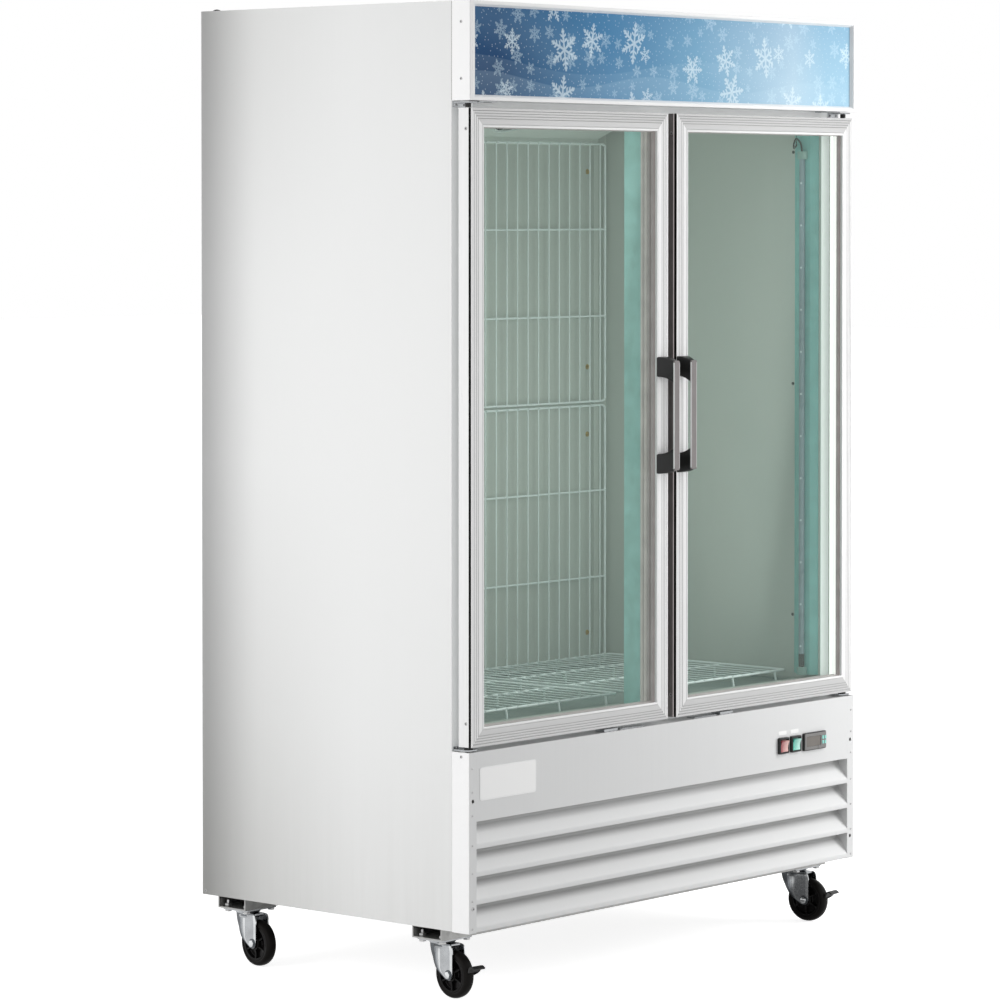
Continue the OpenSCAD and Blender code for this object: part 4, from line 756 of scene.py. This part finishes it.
reeds = []
for k in range(3):
    u = 5.5 + 5.5 * k
    reeds += [(u, 4.1), (u + 0.7, 3.45), (u + 1.8, 3.1), (u + 2.75, 3.0), (u + 3.7, 3.1),
              (u + 4.8, 3.45)]
DOOR_PROFILE = ([(0, 38), (0, 13), (0, 10.6), (7, 10.6), (7, 4.0), (0, 4.0), (0, 3.5), (0.5, 3),
                 (4.9, 3)] + reeds
                + [(22, 4.1), (22.6, 3.2), (23.2, 3), (33.6, 3), (34.2, 3.8), (34.8, 3), (36, 2.1),
                   (38, 1.9), (39.5, 2.7), (40, 4.4), (40, 7.9), (30, 7.9), (30, 34.1), (40, 34.1),
                   (40, 38)])
GASKET_PROFILE = [(13, 38.1), (29, 38.1), (29, 40), (26.6, 41.2), (27.8, 43.6), (26.4, 46),
                  (27.2, 49.1), (26.2, 49.7), (16, 49.7), (15, 49.1), (15.8, 46), (14.4, 43.6),
                  (15.6, 41.2), (13, 40)]
X0, X1, Z0, Z1 = 15, 667, 535, 1856
DOOR_LOOKS = ["alu", "alu_shaded_rail", "groove", "bright", "dark_seam_and_edge_shade", "reed", "pocket", "spacer_white"]
ALU, SHADED_RAIL, GROOVE_SHADE, BRIGHT, EDGE_SHADE, REED_SHADE, POCKET, WHITE = range(len(DOOR_LOOKS))
HINGE_SIDE, HANDLE_SIDE = 1, 3


def rim_members(shape, profile, slots, parts=None):
    """A mitred frame round the door. slots has one entry for the bottom, hinge side, top and
    handle side; parts(member, edge of the profile) may pick another slot."""
    first = len(shape.slots)
    shape.rim(profile, X0, X1, Z0, Z1)
    n = len(profile)
    for k, slot in enumerate(slots):
        for j in range(n):
            other = parts(k, j) if parts else None
            shape.slots[first + k * n + j] = slot if other is None else other
    return shape


def frame_parts(member, edge):
    """The groove and the handle side drawn dark and the reed valleys darker, as painted shade;
    the glass pocket and the white spacer glowing, as painted light; and the bright bead.
    """
    u, y = DOOR_PROFILE[edge]
    next_y = DOOR_PROFILE[(edge + 1) % len(DOOR_PROFILE)][1]
    # painted shade: the groove is drawn black
    if 2 <= edge <= 4:
        return GROOVE_SHADE
    # painted shade: the handle side's face in the gap is drawn dark; the line by it glows as painted light
    if edge in (0, 1) and member == HANDLE_SIDE:
        return (EDGE_SHADE, POCKET)[edge]
    # painted shade: the reed valleys are drawn darker
    if 5 < u < 23 and max(y, next_y) > 4.05:
        return REED_SHADE
    # painted light: the glass pocket glows, brightest as the white spacer on the hinge side
    if 7 < y < 35 and u >= 30:
        return WHITE if member == HINGE_SIDE and y > 8 else POCKET
    return BRIGHT if u >= 34.8 and y < 4 else None


def handle_block(top):
    """One end block: it leaves the stile full width and narrows towards the grip."""
    block = Shape()
    rings = []
    for i in range(13):
        s = i / 12
        y = 2.95 + (-29.9 - 2.95) * s
        lo = 15 + (20.5 + 1.5 - 15) * s ** 0.75
        hi = 55 + (39.5 - 1.5 - 55) * s ** 0.75
        z_hi = 1326 - 8 * s * s
        z_lo = 1283 - 13 * s * s
        line = rounded(lo, hi, z_lo, z_hi, 2.5, 3)
        rings.append([(x, y, z if top else 2 * HANDLE_Z - z) for x, z in line])
    block.loft(rings)
    return block


def grip():
    """A thin metal grip whose front carries an inlay between two bright rims."""
    bar = Shape()
    section = [(21.1, -30), (20.5, -30.6), (20.5, -33.4), (21.0, -34), (21.5, -34), (21.9, -33.45),
               (38.1, -33.45), (38.5, -34), (39.0, -34), (39.5, -33.2), (39.5, -30.6), (38.9, -30)]
    rings = []
    for z, k in ((1080, 0.35), (1081.5, 0.05), (1084, 0), (1314, 0), (1316.5, 0.05), (1318, 0.35)):
        rings.append([(x + (30 - x) * k * 0.3, y + (-31.2 - y) * k, z) for x, y in section])
    bar.loft(rings)
    n = len(section)
    bar.slots = [0 if 2 * n <= j < 3 * n else 1 for j in range(len(bar.slots))]
    bar.along_z([(22, -33.42), (22.2, -33.72), (37.8, -33.72), (38, -33.42)], 1081.5, 1316.5, 1)
    return bar


for name in ("left", "right"):
    body = f"{name}_door"

    def placed(shape):
        return shape if name == "right" else shape.mirrored()

    # the top and bottom rails take the darker aluminium copy: painted shade
    placed(rim_members(Shape(), DOOR_PROFILE, (SHADED_RAIL, ALU, SHADED_RAIL, ALU), frame_parts)).build(
        f"{name}_frame_members", DOOR_LOOKS, body, "door_aluminium", [f"{name}_door_frame"])
    placed(Shape().rim(GASKET_PROFILE, X0, X1, Z0, Z1)).build(
        f"{name}_seal", "gasket", body, "rubber", [f"{name}_door_gasket"], smooth=50)
    panes = Shape()
    for k in range(3):
        panes.box(45.1, 636.9, 8.05 + 11 * k, 11.95 + 11 * k, 565.1, 1825.9)
    panes = placed(panes).build(f"{name}_panes", "glass", body, "glass", [f"{name}_door_glass"])
    panes.visible_shadow = panes.visible_diffuse = False
    bars = Shape()
    for k in range(2):
        y = 12 + 11 * k
        section = [(31, y + 0.1), (40.6, y + 0.1), (41.4, y + 1), (41.4, y + 6), (40.6, y + 6.9),
                   (31, y + 6.9)]
        # the rear bar on the hinge side takes the glowing white: painted light
        rim_members(bars, section, (0, 1 if k else 0, 0, 0))
    placed(bars).build(f"{name}_spacer_bars", ["spacer", "spacer_white"], body, "rubber")
    caps = Shape()
    for z in (Z0 + 49, Z1 - 43):
        for x, axis in ((X0, -1), (X1, 1)):
            screw_head(caps, (x, 18, z), (axis, 0, 0), 4.0, 0.9)
    placed(caps).build(f"{name}_corner_screws", ["steel", "black"], body, "zinc")
    blocks = handle_block(True).join(handle_block(False))
    placed(blocks).build(f"{name}_handle_blocks", "black", body, "black_plastic",
                         [f"{name}_handle_ends"], smooth=50)
    placed(grip()).build(f"{name}_grip_bar", ["bright", "grip"], body, "grip",
                         [f"{name}_handle_grip"])

# ------------------------------------------------------------------ inside the cabinet

wires = Shape()
for s in (-1, 1):
    half = Shape()
    for z0, z1 in ((561, 1181.5), (1185.5, 1806)):
        y = 678
        loop = bent_path([(300, y, z0 + 3), (593, y, z0 + 3), (593, y, z1 - 3), (18, y, z1 - 3),
                          (18, y, z0 + 3), (300, y, z0 + 3)], 12)[:-1]
        half.tube(loop, 2.8, 10, loop=True)
        for k in (1, 2):
            half.tube([(16, y, z0 + (z1 - z0) * k / 3), (595, y, z0 + (z1 - z0) * k / 3)], 2.5, 10)
        for i in range(15):
            x = 571.3 - 38 * i
            path = [(x, y - 2.5, z0 + 2), (x, y - 2.5, z1 - 4), (x, y - 9, z1 - 1)]
            half.tube(bent_path(path, 5, 3), 1.7, 8)
    for x in (34, 555):
        half.box(x, x + 23, 681.05, LINER_BACK - 0.1, 561, 1798.7, 1)
    wires.join(half if s > 0 else half.mirrored())
wires.build("back_guards", ["wire", "liner"], "cabinet", "white_wire", ["wire_guards"],
            smooth=60)

racks = Shape()
for s in (-1, 1):
    half = Shape()
    z, y0, y1 = 580.8, 142, 664
    loop = bent_path([(300, y0, z), (597, y0, z), (597, y1, z), (21, y1, z), (21, y0, z),
                      (300, y0, z)], 10)[:-1]
    half.tube(loop, 3, 12, loop=True)
    for y in (316, 490):
        half.tube([(21, y, z), (597, y, z)], 3, 10)
    for y in (y0, 316, 490, y1):
        for k in (0.075, 0.35, 0.65, 0.925):
            x = 18 + 582 * k
            lean = 4 if y == y0 else 0
            half.tube(bent_path([(x, y, z), (x, y - lean, 562), (x, y - lean, 555.2)], 6), 2.4, 10)
    for i in range(1, 17):
        x = 10 + i * 35
        path = [(x, 138, 581.6), (x, 141, 583.5), (x, 665, 583.5), (x, 668, 581.6)]
        half.tube(bent_path(path, 3), 1.75, 8)
    racks.join(half if s > 0 else half.mirrored())
racks.build("floor_wire_racks", "wire", "cabinet", "white_wire", ["floor_racks"], smooth=60)

post = Shape().box(-50, 50, 52.5, 97.95, SILL_Z + GAP, LINTEL_Z - GAP, 1)
cover_half = [(19, 51.6), (20, 50.05), (36.4, 50.05), (37.2, 51.2), (38, 50.05), (48.5, 50.05),
              (50, 51.5), (50, 52.4)]
cover = [(-x, y) for x, y in reversed(cover_half)] + cover_half
first = len(post.slots)
post.along_z(cover, SILL_Z + GAP, LINTEL_Z - GAP)
# painted light: the cover's outer front strips take the glowing pocket colour
for j in (1, 2, 12, 13):
    post.slots[first + j] = 2
post.build("mullion_post", ["mullion", "throat", "pocket"], "cabinet", "mullion",
           ["center_mullion"])

shells, tubes = Shape(), Shape()
for s in (-1, 1):
    shell, tube = Shape(), Shape()
    wall = LINER_X - 0.1
    outline = ([(wall, 58), (610, 58)] + arc(597, 71, 3.2, 230, 180, 3) + [(594, 103)]
               + arc(597, 106, 3.2, 180, 120, 3) + [(610, 113), (610, 125), (wall, 125)])
    shell.along_z(outline, 574, 1822)
    for z0 in (574, 1762.5):
        shell.along_z(rounded(577.5, 596, 76, 96, 5), z0, z0 + 17.5, 1)
    tube_x, tube_y = 586.95, 87.5
    tube.lathe([(0, 6.0), (1, 6.5), (1169, 6.5), (1170, 6.0)], (tube_x, tube_y, 592), (0, 0, 1), 24)
    for k in range(12):
        tube.lathe([(0, 2.6), (0.5, 2.4), (0.5, 0.1)], (580.9, 85.7, 640 + 97 * k),
                   (-1, -0.3, 0), 12, 1)
    tube.lathe([(0, 6.7), (30, 6.7)], (tube_x, tube_y, 591.9), (0, 0, 1), 24, 2)
    wire = [(590, 90, 1779), (588, 92, 1800), (572, 94, 1812), (566, 96, 1797), (574, 102, 1786),
            (596, 110, 1795), (602, 112, 1824)]
    tube.tube(bent_path(wire, 8), 2.2, 8, 2)
    shells.join(shell if s > 0 else shell.mirrored())
    tubes.join(tube if s > 0 else tube.mirrored())
tubes.lathe([(0, 10.6), (1, 11), (1229, 11), (1230, 10.6)], (-615, 36, 1974), (1, 0, 0), 24)
for s in (-1, 1):
    a, b = sorted((s * 615.05, s * 631))
    tubes.box(a, b, 20, 49.9, 1958, 1990, 2)
shells.build("lamp_shells", ["lamp_shell", "lamp_cap"], "cabinet", "lamp_housing",
             ["lamp_channels"], bevel=0.2)
tubes.build("lamp_tubes_lit", ["lamp_tube", "led", "black"], "cabinet", "lamp_tube",
            ["lamp_tubes"])


def evap_fan_place(s):
    place = Matrix.Translation((s * EVAP_FAN_X, EVAP_FAN_Y, EVAP_FAN_Z))
    return place @ Matrix.Rotation(-EVAP_TILT, 4, "X")


grilles = Shape()
for s in (-1, 1):
    g = Shape()
    for r in (14, 26, 38, 50, 62, 70):
        ring = [(x, y, -3.2) for x, y in arc(0, 0, r, 0, 360, 40)[:-1]]
        g.tube(ring, 1.1, 6, loop=True)
    for k in range(4):
        a = k * math.pi / 4
        c, d = math.cos(a) * 70, math.sin(a) * 70
        g.tube([(-c, -d, -2.2), (c, d, -2.2)], 1.2, 6)
    grilles.join(g, evap_fan_place(s))
grilles.build("fan_grilles", "wire", "cabinet", "white_wire", smooth=60)


def fan(r, hub, blades, depth):
    """A moulded fan wheel whose blades twist from root to tip."""
    made = Shape().lathe([(-10, 4.2), (-10, hub - 2), (-8, hub), (9, hub), (10, hub - 1.5), (10, 4.2)],
                         (0, 0, 0), (0, 0, 1), 28, closed=True)
    for b in range(blades):
        start = 2 * math.pi * b / blades
        rings = []
        for i in range(7):
            q = i / 6
            rad = hub - 1 + (r - hub + 1) * q
            pitch = math.radians(38 - 18 * q)
            half = (0.30 + 0.16 * q) * math.pi / blades * 2
            line = []
            for top in (1, -1):
                for j in (range(7) if top > 0 else reversed(range(7))):
                    t = (j / 6 - 0.5) * 2
                    a = start + 0.25 * q + half * t
                    z = math.sin(pitch) * depth * t * 0.55 + top * 0.8 * (1 - 0.6 * t * t)
                    line.append((rad * math.cos(a), rad * math.sin(a), max(-9.8, min(9.8, z))))
            rings.append(line)
        made.loft(rings)
    return made


for name, s in (("left", -1), ("right", 1)):
    at = evap_fan_place(s) @ Matrix.Translation((0, 0, 22))
    fan(60, 16, 5, 14).moved(at).build(f"{name}_evap_fan_blades", "black", f"{name}_evap_fan",
                                       "black_plastic", [f"{name}_evaporator_fan"], smooth=40)
at = Matrix.Translation((COND_MID_X, SHROUD_Y + 51, COND_MID_Z)) @ Matrix.Rotation(-math.pi / 2, 4, "X")
fan(114, 22, 4, 18).moved(at).build("condenser_fan_blades", "fins", "condenser_fan_wheel", "fins",
                                    ["condenser_fan"], smooth=40)

# ------------------------------------------------------------------ casters


def fork_shape(hub):
    """A pressed fork: two creased legs under a crown, with the axle bolt through them. The legs
    carry painted highlights on their edges and crease and painted shade towards the rear; the
    axle nuts carry a painted highlight and the washer ring painted shade.
    """
    made = Shape()
    plain, shade, half_shade, lit = range(4)
    rows = [(CROWN, -35, 33, 4), (112.6, -37.5, 34.4, 1.3), (110.5, -40, 35, 0.2), (107, -42, 35, 0),
            (101.7, -43.4, 34, 0), (95, -44, 32, 0), (88, -44, 28.6, 0), (80, -44, 23.5, 0),
            (71.7, -44, 17, 0), (62, -44, 8, 0), (55, -44, 0, 0), (49, -43.4, -9, 0),
            (44, -41.5, -17.5, 0), (41, -38.6, -23, 0), (39.2, -34.5, -29, 0)]
    for s in (-1, 1):
        rings = []
        for z, front, rear, inward in rows:
            line = []
            for wall in (18.5, 16):
                crease = min(-6, front + (rear - front) * 0.8)
                cols = ([front + (crease - front) * i / 5 for i in range(5)]
                        + [crease + (rear - crease) * i / 5 for i in range(6)])
                for y in (cols if wall > 17 else reversed(cols)):
                    far = math.hypot(y + TRAIL, z - WHEEL_R)
                    bend = 8.5 * max(0, y + 6) / 40 * min(1, max(0, (far - 46) / 12))
                    line.append((s * (wall - inward - bend), y, z))
            rings.append(line)
        first = len(made.slots)
        made.loft(rings)
        # painted light and shade: lit zinc on the edges and crease, half shade and shade towards the rear
        for i in range(len(rows) - 1):
            for j in range(22):
                col = j if j < 10 else 20 - j
                made.slots[first + i * 22 + j] = (
                    lit if j in (10, 21) or col in (0, 5)
                    else shade if col > 7 else half_shade if col > 6 else plain)
    made.along_z(rounded(-15.5, 15.5, -36, 34, 5), CROWN - 3, CROWN)
    made.lathe([(0, 21), (-3, 23.5), (-6, 22.5), (-8, 18)], (0, 0, CROWN - 3.6), (0, 0, 1), 32)
    axle = (0, -TRAIL, WHEEL_R)
    made.lathe([(-23, 3.2), (-22.4, 4), (22.4 + hub, 4), (23.5 + hub, 3.2)], axle, (1, 0, 0), 20)
    # painted highlight on the axle nuts, and painted shade on the washer ring below
    made.lathe([(-23.4, 6.6), (-22.6, 8), (-18.6, 8)], axle, (1, 0, 0), 6, lit)
    made.lathe([(18.6 + hub, 8), (22.6 + hub, 8), (23.4 + hub, 6.6)], axle, (1, 0, 0), 6, lit)
    made.lathe([(-19.3, 10.6), (-18.5, 10.8)], axle, (1, 0, 0), 28, shade)
    return made


def wheel_shape():
    """Tyre, six-spoked hub and bearing sleeve, turned about the axle."""
    c, x = (0, -TRAIL, WHEEL_R), (1, 0, 0)
    made = Shape().lathe([(-10.8, 37), (-12, 39.4), (-12.6, 42), (-12.2, 44.8), (-10.4, 47.4), (-7, 49.1),
                          (-3, 49.85), (0, 50), (3, 49.85), (7, 49.1), (10.4, 47.4), (12.2, 44.8),
                          (12.6, 42), (12, 39.4), (10.8, 37)], c, x, 64, closed=True)
    made.lathe([(-11.4, 33.4), (-12, 34.2), (-12, 37.6), (-10.8, 38.6), (10.8, 38.6), (12, 37.6),
                (12, 34.2), (11.4, 33.4), (4, 31.5), (3, 30), (3, 16), (4, 15), (13, 14.6), (13.9, 13.8),
                (13.9, 6), (-13.9, 6), (-13.9, 13.8), (-13, 14.6), (-4, 15), (-3, 16), (-3, 30),
                (-4, 31.5)], c, x, 64, 1, closed=True)
    for k in range(6):
        turn = Matrix.Translation(c) @ Matrix.Rotation(k * math.pi / 3, 4, "X")
        rib = Shape()
        rib.loft([[(h, -1.6 * t, r), (h, 1.6 * t, r), (-h, 1.6 * t, r), (-h, -1.6 * t, r)]
                  for r, h, t in ((14, 11.5, 1.3), (20, 9, 1), (28, 8.4, 1), (34, 10.5, 1.3))], 1)
        made.join(rib, turn)
    made.lathe([(-14, 4.1), (-14, 6.2), (14, 6.2), (14, 4.1)], c, x, 24, 2, closed=True)
    return made


def pedal_shape():
    """A brake lever on the axle, with a raised foot tab ahead of the wheel."""
    made = Shape()
    c = (0, -TRAIL, WHEEL_R)
    made.lathe([(18.9, 4.1), (18.9, 10.4), (19.5, 11), (22.2, 11), (22.8, 10.4), (22.8, 4.1)], c,
               (1, 0, 0), 32, closed=True)
    arm = [(-38, 43), (-52, 45), (-68, 50), (-80, 56), (-87, 62), (-90, 68), (-86, 71), (-78, 68),
           (-66, 63), (-52, 59), (-40, 57.5)]
    made.along_x(arm, 18.9, 22.8)
    tab = folded_sheet([(-84.0, 60.5), (-87.5, 70.5), (-94, 73.5), (-101.5, 68.5)], 3.4, 4, 6)
    made.loft([[(x, y, z) for y, z in tab] for x in (-9.2, -8, 21.6, 22.8)])
    for k in range(3):
        y = -92.5 - 2.6 * k
        made.box(-6, 20, y - 0.4, y + 0.4, 71.5 - k * 1.6, 74.6 - k * 1.4)
    return made


plates = Shape()
for name, (x, y, turn) in CASTERS.items():
    at = Matrix.Translation((x, y, 0)) @ Matrix.Rotation(math.radians(turn), 4, "Z")
    hub = 4.6 if name.startswith("front") else 0
    fork_shape(hub).moved(at).build(f"{name}_fork_pressing",
                                    ["zinc", "zinc_shade", "zinc_half_shade", "zinc_lit"],
                                    f"{name}_caster", "zinc", [f"{name}_fork"], smooth=38)
    wheel_shape().moved(at).build(f"{name}_tyre_and_hub", ["tyre", "hub", "zinc"],
                                  f"{name}_roller", "tyre", [f"{name}_wheel"], smooth=30)
    if hub:
        side = name.split("_")[1]
        pedal_shape().moved(at).build(f"{side}_brake_lever", "black", f"{side}_brake",
                                      "black_plastic", [f"{side}_brake_pedal"], bevel=0.35, smooth=40)
    flat = Matrix.Translation((x, y, 0))
    base = Shape().along_z(rounded(-48, 48, -37, 37, 6), 122, 125.9)
    base.lathe([(0, 27), (-1.2, 27), (-2.4, 25.6), (-4.4, 24.6), (-6.6, 23), (-8, 20), (-8, 6),
                (-12.0, 6), (-12.0, 10), (-11.4, 10.4), (-15.4, 10.4), (-16, 9.6)],
               (0, 0, 122), (0, 0, 1), 36)
    plates.join(base, flat)
plates.build("caster_top_plates", "zinc", "cabinet", "zinc", ["caster_plates"], bevel=0.3)

# ------------------------------------------------------------------ camera, floor and lights

camera = scene_object("camera", bpy.data.cameras.new("camera"))
camera.location = (-7.04446, -5.93652, 1.64356)
yaw, pitch = math.radians(49.273), math.radians(1.333)
look = Vector((math.sin(yaw) * math.cos(pitch), math.cos(yaw) * math.cos(pitch), -math.sin(pitch)))
camera.rotation_euler = look.to_track_quat("-Z", "Y").to_euler()
camera.data.sensor_width, camera.data.lens = 36.0, 148.138
camera.data.shift_y = -0.19343
camera.data.clip_end = 200.0
bpy.context.scene.camera = camera
bpy.context.scene.view_settings.view_transform = "Standard"
bpy.context.scene.cycles.transparent_max_bounces = 24

CAMERA_RAY, GLOSSY_RAY, TRANSMISSION_RAY = 0, 3, 6
world = Nodes("studio", world=True)
mirrored = world.math("MAXIMUM", world.node("LightPath", TRANSMISSION_RAY),
                      world.node("LightPath", GLOSSY_RAY))
seen = world.math("MAXIMUM", world.node("LightPath", CAMERA_RAY), mirrored)
bpy.context.scene.world = world.done(world.node("Background", Color=(1, 1, 1),
                                                Strength=world.span(seen, 0, 1, 0.525, 1.0)))


def flat_sheet(name, corners):
    sheet = bpy.data.meshes.new(name)
    sheet.from_pydata(corners, [], [(0, 1, 2, 3)])
    return scene_object(name, sheet)


floor = flat_sheet("floor", [(-40, -40, 0), (40, -40, 0), (40, 40, 0), (-40, 40, 0)])
fm = Nodes("studio_floor")
lit = fm.math("MAXIMUM", fm.node("LightPath", CAMERA_RAY), fm.node("LightPath", TRANSMISSION_RAY))
plain = fm.principled(fm.mix(fm.vary(fm.noise(0.8, 2), 0, 1), grey(0.60), grey(0.62)), 0.9)
glow = fm.node("Emission", Color=(1, 1, 1), Strength=fm.times(lit, 0.83))
fx = fm.math("ABSOLUTE", fm.axis(0))
fy = fm.math("ABSOLUTE", fm.axis(1))
# painted shadow: in reflections the floor is dark under the cabinet
shade_under_cabinet = fm.times(fm.span(fx, 0.50, 0.78, 1, 0), fm.span(fy, 0.25, 0.50, 1, 0))
mirrored_floor = fm.node("Emission", Color=(1, 1, 1), Strength=fm.span(shade_under_cabinet, 0, 1, 1.0, 0.12))
both = fm.node("AddShader", i0=plain, i1=glow)
floor.data.materials.append(fm.done(fm.node("MixShader", i0=fm.node("LightPath", GLOSSY_RAY),
                                            i1=both, i2=mirrored_floor)))


def softbox(name, place, aim, size, watts):
    light = bpy.data.lights.new(name, "AREA")
    light.shape, light.size, light.size_y, light.energy = "RECTANGLE", size[0], size[1], watts
    obj = scene_object(name, light)
    obj.location = place
    obj.rotation_euler = (Vector(aim) - Vector(place)).to_track_quat("-Z", "Y").to_euler()
    obj.visible_camera = obj.visible_glossy = False


softbox("side_softbox", (-3.2, 0.9, 1.35), (-0.67, -0.05, 1.2), (1.8, 1.6), 43)
softbox("front_softbox", (2.2, -1.95, 2.0), (0.5, -0.4, 1.1), (1.1, 2.4), 50)
softbox("low_softbox", (1.7, -1.3, 0.7), (0.6, -0.37, 0.4), (0.6, 0.6), 6.5)
softbox("top_softbox", (0.0, -0.6, 5.0), (0.0, 0.0, 1.0), (3.0, 3.0), 18)
for x in (-0.32, 0.32):
    softbox("inside_softbox", (x, -0.262, 1.25), (x, 0.3, 1.33), (0.46, 1.15), 0.93)

# A black card behind the rear edge of the left side
flag = flat_sheet("side_flag", [(-0.685, 0.412, 0.02), (-0.93, 0.412, 0.02), (-0.93, 0.412, 2.15),
                                (-0.685, 0.412, 2.15)])
flag.data.materials.append(moulded("flag_cloth", grey(0.01), 0.9, 300, 0.1))
flag.visible_camera = flag.visible_glossy = False
